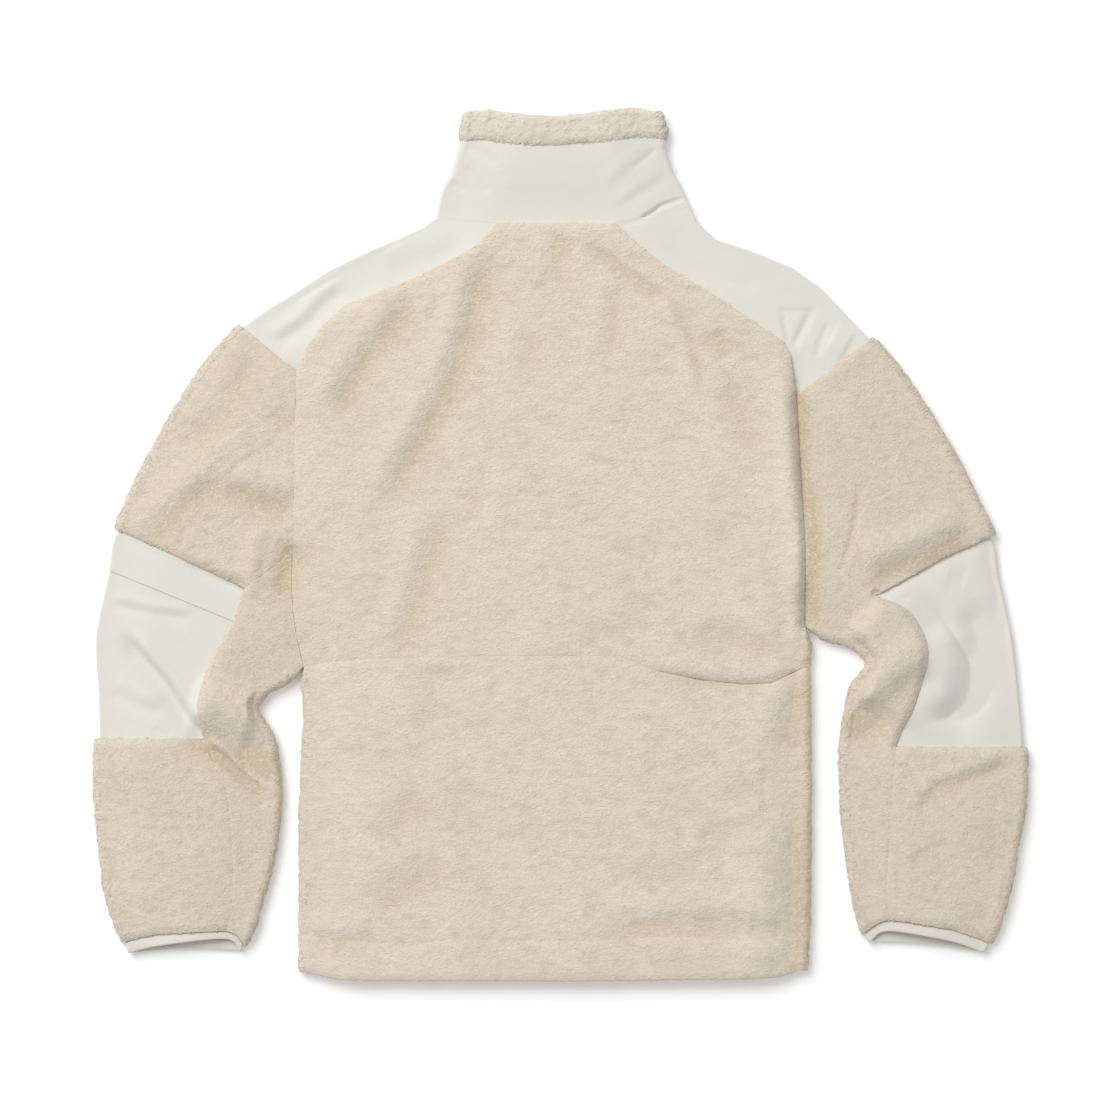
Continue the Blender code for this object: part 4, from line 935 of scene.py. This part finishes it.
def wall_mesh(name, inner, outer, cells, shown, kept_rows, kept_columns, marks):
    """Mesh of a wall whose inner grid has only the kept rows and columns of its outer one."""
    height, width = outer.shape[:2]
    fine = np.arange(height * width).reshape(height, width)
    coarse = np.arange(inner.shape[0] * inner.shape[1]).reshape(inner.shape[:2]) + fine.size

    def quads(index, mask):
        return np.stack([corner[mask] for corner in cell_corners(index)], axis=-1)

    faces = quads(fine, shown).tolist() + quads(coarse, cells)[:, ::-1].tolist()
    padded = np.pad(cells, 1)
    for i, j in np.argwhere(cells):
        top, bottom = kept_rows[i], kept_rows[i + 1]
        left, right = kept_columns[j], kept_columns[j + 1]
        sides = (
            (padded[i, j + 1], fine[top, left:right + 1], coarse[i, j], coarse[i, j + 1]),
            (padded[i + 1, j + 2], fine[top:bottom + 1, right], coarse[i, j + 1], coarse[i + 1, j + 1]),
            (padded[i + 2, j + 1], fine[bottom, left:right + 1][::-1], coarse[i + 1, j + 1],
             coarse[i + 1, j]),
            (padded[i + 1, j], fine[top:bottom + 1, left][::-1], coarse[i + 1, j], coarse[i, j]),
        )
        for covered, edge, start, end in sides:
            if covered:
                continue
            half = (len(edge) - 1) // 2
            for k in range(len(edge) - 1):
                faces.append((edge[k + 1], edge[k], start if k < half else end))
            faces.append((edge[half], start, end))

    points = np.concatenate((outer.reshape(-1, 3), inner.reshape(-1, 3))) * MM
    used = np.unique(np.concatenate([np.asarray(face, int) for face in faces]))
    renamed = np.zeros(len(points), int)
    renamed[used] = np.arange(len(used))
    marks = {mark: np.concatenate((values.ravel(), np.zeros(len(points) - values.size)))[used]
             for mark, values in marks.items()}
    piece = mesh_piece(name, points[used], [[int(renamed[v]) for v in face] for face in faces], marks)
    mesh = piece.data
    if signed_volume(mesh) < 0:
        mesh.flip_normals()
    mesh.set_sharp_from_angle(angle=math.radians(60))
    return piece


def signed_volume(mesh):
    points = np.zeros(len(mesh.vertices) * 3)
    mesh.vertices.foreach_get("co", points)
    points = points.reshape(-1, 3)
    mesh.calc_loop_triangles()
    corners = np.zeros(len(mesh.loop_triangles) * 3, int)
    mesh.loop_triangles.foreach_get("vertices", corners)
    a, b, c = (points[corners[k::3]] for k in (0, 1, 2))
    return (a * np.cross(b, c)).sum() / 6


# ---------------------------------------------------------------- materials

# Grain for each metre, on each axis
BLOTCHES = (22, 26, 22)
FIBRES = (500, 900, 900)
TUFTS = (320, 380, 380)
TUFTS_SEEN = (0.14, 0.28)   # how much paler they are on open pile, and in the hollows
CRIMP = 1.6                 # of the locks' grain
SHELL_THREADS = 480.0
SHELL_CLOUDS = (9, 12, 9)
SHELL_CRINKLES = (60, 75, 60)
BINDING_RIBS = 260.0
BINDING_CLOUDS = (30, 30, 30)


def srgb(*levels):
    """Linear colour of an 8-bit one."""
    return (*(((v / 255 + 0.055) / 1.055) ** 2.4 for v in levels), 1.0)


class Nodes:
    """Short names for building a material's nodes."""

    def __init__(self, name):
        self.material = bpy.data.materials.new(name)
        self.material.use_nodes = True
        self.tree = self.material.node_tree
        self.shader = self.tree.nodes["Principled BSDF"]

    def add(self, kind, inputs=None, **settings):
        node = self.tree.nodes.new(kind)
        for key, value in settings.items():
            setattr(node, key, value)
        for key, value in (inputs or {}).items():
            if isinstance(value, bpy.types.NodeSocket):
                self.tree.links.new(value, node.inputs[key])
            else:
                node.inputs[key].default_value = value
        return node

    def place(self, scale):
        """Place on the object, scaled on each axis."""
        spot = self.add("ShaderNodeTexCoord").outputs["Object"]
        return self.add("ShaderNodeMapping", {"Vector": spot, "Scale": scale}).outputs["Vector"]

    def noise(self, scale, detail=2.0, roughness=0.5, distortion=0.0):
        """Noise whose grain is 1/scale metres on each axis."""
        node = self.add("ShaderNodeTexNoise", {
            "Vector": self.place(scale), "Scale": 1.0, "Detail": detail,
            "Roughness": roughness, "Distortion": distortion})
        return node.outputs["Fac"]

    def bands(self, direction, scale, distortion):
        """Fine threads that follow each other along one axis."""
        return self.add("ShaderNodeTexWave", {
            "Vector": self.place((1, 1, 1)), "Scale": scale, "Distortion": distortion,
            "Detail": 1.0}, wave_type="BANDS", bands_direction=direction).outputs["Fac"]

    def combine(self, operation, first, second=0.0):
        return self.add("ShaderNodeMath", {0: first, 1: second}, operation=operation).outputs[0]

    def spread(self, value, low, high, to_low=0.0, to_high=1.0):
        return self.add("ShaderNodeMapRange", {
            "Value": value, "From Min": low, "From Max": high,
            "To Min": to_low, "To Max": to_high}).outputs["Result"]

    def blend(self, share, first, second):
        """Mix of two colours, which are inputs 6 and 7 of the node, with output 2."""
        return self.add("ShaderNodeMix", {"Factor": share, 6: first, 7: second},
                        data_type="RGBA", blend_type="MIX").outputs[2]

    def bump(self, height, strength, distance, normal=None):
        inputs = {"Height": height, "Strength": strength, "Distance": distance}
        if normal is not None:
            inputs["Normal"] = normal
        return self.add("ShaderNodeBump", inputs).outputs["Normal"]

    def finish(self, colour, normal, **constants):
        self.tree.links.new(colour, self.shader.inputs["Base Color"])
        self.tree.links.new(normal, self.shader.inputs["Normal"])
        for key, value in constants.items():
            self.shader.inputs[key.replace("_", " ")].default_value = value
        return self.material


def sherpa_material(name, grain, tip, pit_shade_and_tone, deep, highlight_and_tuft):
    """Curled pile: a painted highlight on the tops of the curls and paler on some loose curls, painted
    shade low in the curls, between the locks and in the hollows, with random tone, pale tufts and fine
    fibre.
    """
    make = Nodes(name)
    curl = make.add("ShaderNodeAttribute", attribute_name="nub").outputs["Fac"]
    # Painted shade low in the curls, towards the pit colour.
    colour = make.blend(make.spread(curl, -0.75, 0.35, 0.25, 0.0), tip, pit_shade_and_tone)
    # Painted highlight: paler on the tops of the curls, and on some loose curls at random.
    colour = make.blend(make.spread(curl, 0.5, 1.0, 0.0, 0.18), colour, highlight_and_tuft)
    # Painted shade: the pile darkens towards the deep colour in the hollows of the relief.
    hollow_shade = make.add("ShaderNodeAttribute", attribute_name="hollow_shade").outputs["Fac"]
    colour = make.blend(make.spread(hollow_shade, 0.0, 1.0, 0.0, DIP_SHADE), colour, deep)
    blotch = make.noise(BLOTCHES, detail=3)
    colour = make.blend(make.spread(blotch, 0.35, 0.65, 0.0, 0.10), colour, pit_shade_and_tone)
    lock = make.noise(grain, detail=1.0, distortion=1.1)
    aside = make.combine("ABSOLUTE", make.combine("SUBTRACT", lock, 0.5))
    furrow = make.spread(aside, 0.0, FURROW, 1.0, 0.0)
    # Painted shade in the furrows between the locks.
    colour = make.blend(make.spread(furrow, 0.0, 1.0, 0.0, 0.06), colour, pit_shade_and_tone)
    fibre = make.noise(FIBRES, detail=2, distortion=0.8)
    colour = make.blend(make.spread(fibre, 0.30, 0.60, 0.05, 0.0), colour, pit_shade_and_tone)
    tufts = make.spread(make.noise(TUFTS, detail=0), 0.54, 0.70)
    seen = make.spread(hollow_shade, 0.0, 1.0, *TUFTS_SEEN)
    colour = make.blend(make.combine("MULTIPLY", tufts, seen), colour, highlight_and_tuft)
    normal = make.bump(make.spread(furrow, 0.0, 1.0, 1.0, 0.0), 0.4, 0.0006)
    normal = make.bump(tufts, 0.25, 0.0009, normal)
    crimp = make.noise(tuple(CRIMP * size for size in grain), detail=1.0, distortion=1.1)
    normal = make.bump(crimp, 0.38, 0.0008, normal)
    normal = make.bump(fibre, 0.12, 0.0004, normal)
    return make.finish(colour, normal, Roughness=0.95, Specular_IOR_Level=0.15,
                       Sheen_Weight=0.7, Sheen_Roughness=0.4)


def shell_material(name, thread, shade):
    """Smooth woven shell: a fine plain weave, faint crinkles and a slight sheen."""
    make = Nodes(name)
    warp, weft = (make.bands(axis, SHELL_THREADS, 0.6) for axis in "XY")
    weave = make.combine("MAXIMUM", warp, weft)
    cloudy = make.noise(SHELL_CLOUDS, detail=3)
    colour = make.blend(make.spread(cloudy, 0.35, 0.70, 0.0, 0.30), thread, shade)
    crinkle = make.noise(SHELL_CRINKLES, detail=4, roughness=0.55)
    normal = make.bump(crinkle, 0.25, 0.0015)
    normal = make.bump(weave, 0.10, 0.0002, normal)
    return make.finish(colour, normal, Roughness=0.62, Specular_IOR_Level=0.3,
                       Sheen_Weight=0.12, Sheen_Roughness=0.5)


def binding_material(name, thread, shade):
    """Knitted stretch binding with a fine rib across it."""
    make = Nodes(name)
    rib = make.bands("X", BINDING_RIBS, 1.0)
    cloudy = make.noise(BINDING_CLOUDS, detail=2)
    colour = make.blend(make.spread(cloudy, 0.35, 0.65, 0.0, 0.4), thread, shade)
    normal = make.bump(rib, 0.25, 0.0004)
    return make.finish(colour, normal, Roughness=0.8, Specular_IOR_Level=0.2,
                       Sheen_Weight=0.15, Sheen_Roughness=0.5)


def floor_material():
    make = Nodes("floor_white")
    grain = make.noise((3, 3, 3), detail=2)
    colour = make.blend(make.spread(grain, 0.4, 0.6), srgb(252, 252, 252), srgb(254, 254, 254))
    return make.finish(colour, make.bump(grain, 0.05, 0.0002), Roughness=0.9, Specular_IOR_Level=0.0,
                       Emission_Color=srgb(255, 255, 255), Emission_Strength=0.1)


# Colours of the pile: painted shade between the locks and low in the curls, also used for its random
# darker tone; painted shade in a deep hollow; painted highlight on the curls' tops, also used for the
# pale tufts
SHERPA_SHADES = (srgb(188, 174, 151), srgb(186, 162, 128), srgb(240, 231, 215))
FINISHES = {
    "body": sherpa_material("sherpa_body", PILES["body"][1], srgb(227, 215, 197), *SHERPA_SHADES),
    "arm": sherpa_material("sherpa_arm", PILES["arm"][1], srgb(222, 210, 191), *SHERPA_SHADES),
    "band": sherpa_material("sherpa_band", PILES["band"][1], srgb(228, 219, 204), *SHERPA_SHADES),
    "shell": shell_material("shell_weave", srgb(224, 221, 211), srgb(216, 213, 203)),
    "binding": binding_material("knitted_binding", srgb(223, 219, 208), srgb(214, 209, 197)),
}


# ---------------------------------------------------------------- pieces

UPPER_ROWS = seam_rows(0, ELBOW_TOP, 6)
ELBOW_ROWS = [ELBOW_TOP, ELBOW_TOP + BESIDE_ELBOW, *span(ELBOW_TOP, ELBOW_FOOT, 8)[1:-1],
              ELBOW_FOOT - BESIDE_ELBOW, ELBOW_FOOT]
FOREARM_ROWS = seam_rows(ELBOW_FOOT, CUFF_TOP, 6)
UNDER_ROWS = UPPER_ROWS[:-1] + ELBOW_ROWS[:-1] + FOREARM_ROWS
CUFF_ROWS = span(CUFF_TOP, CUFF_EDGE, 3)
ALL_FOLDS = FOLDS + CREASES


def facing(angle, places):
    """Columns at these places on one layer."""
    return [(c, angle) for c in places]


def turning(c, angles=FOLD_ANGLES):
    """Columns that turn round a folded edge."""
    return [(c, angle) for angle in angles]


def make_piece(node, finish, shape, rows, columns, face, steps, rests_on, folds=ALL_FOLDS, **looks):
    """Make a cloth with its finish, named after the solid it stands for, and hide that solid."""
    pile = finish if finish in PILES else None
    slot = "sherpa" if pile else finish
    piece, (width, length, area) = cloth(
        f"{node}_{slot}", shape, rows, columns, face, steps, folds, pile, **looks)
    piece.data.materials.append(FINISHES[finish])
    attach(piece, "root")
    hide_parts(node)


def sleeve_columns(side):
    """Columns of the outer pieces and of the undersleeve, from the seam on the upper layer."""
    below = ARMHOLE_STEPS[side][1]
    crest = span(SEAM, CREST, CREST_STEPS)[:-1] + span(CREST, OUTER, CAP_STEPS)
    crest.insert(1, SEAM - BESIDE_SEAM)
    outer = facing(UP, crest) + turning(OUTER) + facing(DOWN, span(OUTER, CREST, 2))
    inside = span(SEAM, INNER, below)
    inside.insert(1, SEAM + BESIDE_SEAM)
    hidden = span(INNER, SEAM, below) + span(SEAM, CREST, 2)[1:]
    return outer, facing(UP, inside) + turning(INNER) + facing(DOWN, hidden)


def make_sleeve(side, shape):
    outer, under = sleeve_columns(side)
    for name, finish, rows, columns, face, steps in (
        ("upper", "arm", UPPER_ROWS, outer, sherpa, SLEEVE_GRID),
        ("elbow", "shell", ELBOW_ROWS, outer, shell, SHELL_GRID),
        ("forearm", "arm", FOREARM_ROWS, outer, sherpa, SLEEVE_GRID),
        ("under", "arm", UNDER_ROWS, under, sherpa, SLEEVE_GRID),
    ):
        make_piece(f"sleeve_{side}_{name}", finish, shape, rows, columns, face, steps, ["floor"])
    make_cuff(side, shape)


def make_cuff(side, shape):
    """Binding once round the wrist, its ends meeting under the crest of the sleeve."""
    over = span(OUTER, CREST, 2) + span(CREST, SEAM, 4)[1:] + span(SEAM, INNER, 2)[1:]
    columns = (facing(DOWN, span(CREST, OUTER, 2)) + turning(OUTER, FOLD_ANGLES[::-1])
               + facing(UP, over) + turning(INNER) + facing(DOWN, span(INNER, CREST, 5)))

    def binding(s, angle, left):
        middle = (s - CUFF_TOP) / (CUFF_EDGE - CUFF_TOP)
        return BINDING * mix(BINDING_EDGE, 1.0, np.sqrt(np.clip(1 - (2 * middle - 1) ** 4, 0, 1)))

    make_piece(f"cuff_{side}", "binding", shape, CUFF_ROWS, columns, binding, BINDING_GRID,
               ["floor"], folds=FOLDS)


def make_pocket_welt():
    """Welt on the left elbow, made from the points of the panel under it, moved out."""
    outer, _ = sleeve_columns("left")
    columns = outer[:outer.index((OUTER, FOLD_ANGLES[0])) + 1]
    rows = [s for s in ELBOW_ROWS if ELBOW_TOP < s <= POCKET_LINE]
    bottom = SHELL + SEAM_GAP
    make_piece("sleeve_left_pocket_welt", "shell", LEFT_SHAPE, rows, columns, even(bottom + WELT),
               SHELL_GRID, ["sleeve_left_elbow_shell"], inner_face=even(bottom))


def make_yoke(side, table):
    """Shell over the shoulder: the same shape on the back and, folded over, on the front."""
    columns = facing(UP, span(0, 1, 3)) + turning(1) + facing(DOWN, span(1, 0, 3))
    make_piece(f"yoke_{side}", "shell", yoke(table), list(range(len(table))), columns, shell,
               SHELL_GRID, ["floor"])


def body_shares(steps):
    return [0, EDGE_SHARE, *span(0, 1, steps)[1:-1], 1 - EDGE_SHARE, 1]


def lower_plan():
    """Below the back seam: s is 0 at the seam, 1 at the hem's stitching and 2 at its edge."""
    left_side = [BACK_SEAM[0], *LEFT_SIDE[1:]]
    right_side = [BACK_SEAM[-1], *RIGHT_SIDE[2:]]
    body = patch(by_length(left_side[:-1]), by_length(right_side[:-1]),
                 by_length(BACK_SEAM), by_length(HEM_STITCH))
    hem = patch(polyline(left_side[-2:]), polyline(right_side[-2:]),
                by_length(HEM_STITCH), by_length(HEM))
    return joined(body, hem, 1)


BACK_PLAN = patch(polyline(LEFT_BACK), polyline(RIGHT_BACK), by_length(NECK_LINE),
                  by_length(BACK_SEAM), BACK_ROWS, BACK_SHARPNESS)
LOWER_PLAN = lower_plan()
BACK_SEAM_ROWS = [0, EDGE_ROW, *range(1, BACK_ROWS), BACK_ROWS - EDGE_ROW, BACK_ROWS]
HEM_SEAM_ROWS = [0, HEM_ROW, *span(0, 1, LOWER_STEPS)[1:-1], 1 - HEM_ROW, 1, *HEM_BEND, 2]


def make_back():
    """Upper back down to its seam. Its right side turns down below the armhole."""
    columns = facing(UP, body_shares(BACK_STEPS)) + turning(1, BACK_SIDE)
    last = len(columns) - 1
    cut = [(i, j) for i, s in enumerate(BACK_SEAM_ROWS) for j in (last - 2, last - 1)
           if s < RIGHT_UNDERARM_ROW]
    make_piece("back_upper", "body", (BACK_PLAN, sideways), BACK_SEAM_ROWS, columns, sherpa,
               BACK_GRID, ["front_sherpa"], cut=cut)


def make_back_lower():
    columns = (turning(0, BACK_SIDE[::-1]) + facing(UP, body_shares(BACK_STEPS))
               + turning(1, BACK_SIDE))
    make_piece("back_lower", "body", (LOWER_PLAN, sideways), HEM_SEAM_ROWS, columns, sherpa,
               BACK_GRID, ["front_sherpa"])


def part(grid, left, right):
    """Part two columns of a grid at the neck slit."""
    grid[:, left, 0] -= SLIT_HALF_WIDTH
    grid[:, right, 0] += SLIT_HALF_WIDTH
    return grid


def make_front():
    """The whole front in one panel, under the back, with the neck slit down its middle."""
    shares = span(0, 1, FRONT_STEPS)
    middle = FRONT_STEPS // 2
    shares.insert(middle, shares[middle])
    columns = turning(0, FRONT_SIDE[::-1]) + facing(DOWN, shares) + turning(1, FRONT_SIDE)
    rows = BACK_SEAM_ROWS + [BACK_ROWS + s for s in HEM_SEAM_ROWS[1:]]
    shape = (joined(BACK_PLAN, LOWER_PLAN, BACK_ROWS), sideways)

    last = len(columns) - 1
    slit = len(FRONT_SIDE) + middle
    cut = [(i, slit) for i in range(SLIT_LENGTH_ROWS)]
    for i, s in enumerate(BACK_SEAM_ROWS):
        if s < LEFT_UNDERARM_ROW:
            cut += [(i, 0), (i, 1)]
        if s < RIGHT_UNDERARM_ROW:
            cut += [(i, last - 2), (i, last - 1)]

    def open_slit(grid):
        doubled = np.linalg.norm(np.diff(grid[0], axis=0), axis=1).argmin()
        return part(grid, doubled, doubled + 1)

    make_piece("front", "body", shape, rows, columns, sherpa, FRONT_GRID, ["floor"], folds=FOLDS,
               loose=False, cut=cut, part_ends=open_slit)


def collar_shape():
    """Plan of the collar: s from the neck seam to the top, c from its left fold to its right."""
    neck = along_points([COLLAR_LEFT[0], *NECK_LINE, COLLAR_RIGHT[0]], [0, *COLLAR_CORNERS, 1])
    plan = patch(by_length(COLLAR_LEFT), by_length(COLLAR_RIGHT), neck, by_length(COLLAR_TOP))

    def outward(s, c):
        return unit(plan(s, c) - plan(s, np.where(np.asarray(c) < 0.5, *COLLAR_CORNERS)))

    return plan, outward


def collar_columns():
    """Round the collar from the slit, over the back and to the slit again."""
    return (facing(DOWN, COLLAR_FRONT) + turning(0, FOLD_ANGLES[::-1]) + facing(UP, COLLAR_BACK)
            + turning(1) + facing(DOWN, [1 - c for c in reversed(COLLAR_FRONT)]))


def make_collar():
    """Shell outside, and a sherpa lining that rises over it as a band round the top."""
    shape, columns = collar_shape(), collar_columns()

    def open_slit(grid):
        return part(grid, 0, -1)

    rows = [0, LINING_START, *COLLAR_ROWS, BAND_START - BAND_GAP]
    make_piece("collar_shell", "shell", shape, rows, columns, shell, COLLAR_GRID,
               ["collar_lining_sherpa"], level=collar_level, part_ends=open_slit)
    band = [(s, -SEAM_GAP, LINING) for s in (LINING_START, *COLLAR_ROWS, BAND_START)] + list(BAND)
    rows, outside, inside = zip(*band)

    def outer_face(s, angle, left):
        return np.interp(s, rows, outside)

    def inner_face(s, angle, left):
        gap = collar_level(s)[1]
        return -np.minimum(np.interp(s, rows, inside), (gap - SEAM_GAP) / 2)

    def fluff(s):
        return BAND_NUB * smooth((s - BAND_START) / BAND_SLOPE)

    make_piece("collar_lining", "band", shape, list(rows), columns, outer_face, BAND_GRID,
               ["floor"], inner_face=inner_face, level=collar_level, fluff=fluff,
               part_ends=open_slit)


# ---------------------------------------------------------------- stage

PIXEL = 0.92            # millimetres of the garment in one pixel of the view
VIEW_PIXELS = 1120
VIEW_CENTRE = (0.5, -14.7)      # where the middle of the view falls on the garment
VIEW_HEIGHT = 8.0       # of the plane that the view's scale is taken at
LENS, SENSOR = 150.0, 36.0
KEY_WAY = (0.42, -0.50, -0.755)     # of the light, from above and a little left
KEY_DISTANCE = 8.0      # metres
KEY_SIZE = 5.2
KEY_POWER = 450.0
WORLD_STRENGTH = 0.54
WORLD_COLOUR = (0.98, 0.99, 1.0, 1.0)
FLOOR_SIZE = 40.0


def make_camera():
    data = bpy.data.cameras.new("camera")
    data.lens, data.sensor_width = LENS, SENSOR
    camera = bpy.data.objects.new("camera", data)
    distance = PIXEL * VIEW_PIXELS * LENS / SENSOR
    camera.location = Vector((*VIEW_CENTRE, VIEW_HEIGHT + distance)) * MM
    data.clip_end = 50.0
    bpy.context.scene.collection.objects.link(camera)
    bpy.context.scene.camera = camera


def make_stage():
    bpy.ops.mesh.primitive_plane_add(size=FLOOR_SIZE, location=(0, 0, 0))
    floor = bpy.context.object
    floor.name = "floor"
    floor.data.materials.append(floor_material())
    lamp = bpy.data.lights.new("key", "AREA")
    lamp.size = KEY_SIZE
    lamp.energy = KEY_POWER
    key = bpy.data.objects.new("key", lamp)
    way = Vector(KEY_WAY).normalized()
    key.location = -way * KEY_DISTANCE
    key.rotation_mode = "QUATERNION"
    key.rotation_quaternion = way.to_track_quat("-Z", "Y")
    bpy.context.scene.collection.objects.link(key)
    world = bpy.data.worlds.new("studio")
    world.use_nodes = True
    sky = world.node_tree.nodes["Background"]
    sky.inputs["Color"].default_value = WORLD_COLOUR
    sky.inputs["Strength"].default_value = WORLD_STRENGTH
    bpy.context.scene.world = world
    bpy.context.scene.view_settings.view_transform = "Standard"


make_camera()
make_front()
make_back()
make_back_lower()
make_yoke("left", LEFT_YOKE)
make_yoke("right", RIGHT_YOKE)
make_collar()
make_sleeve("left", LEFT_SHAPE)
make_sleeve("right", RIGHT_SHAPE)
make_pocket_welt()
make_stage()
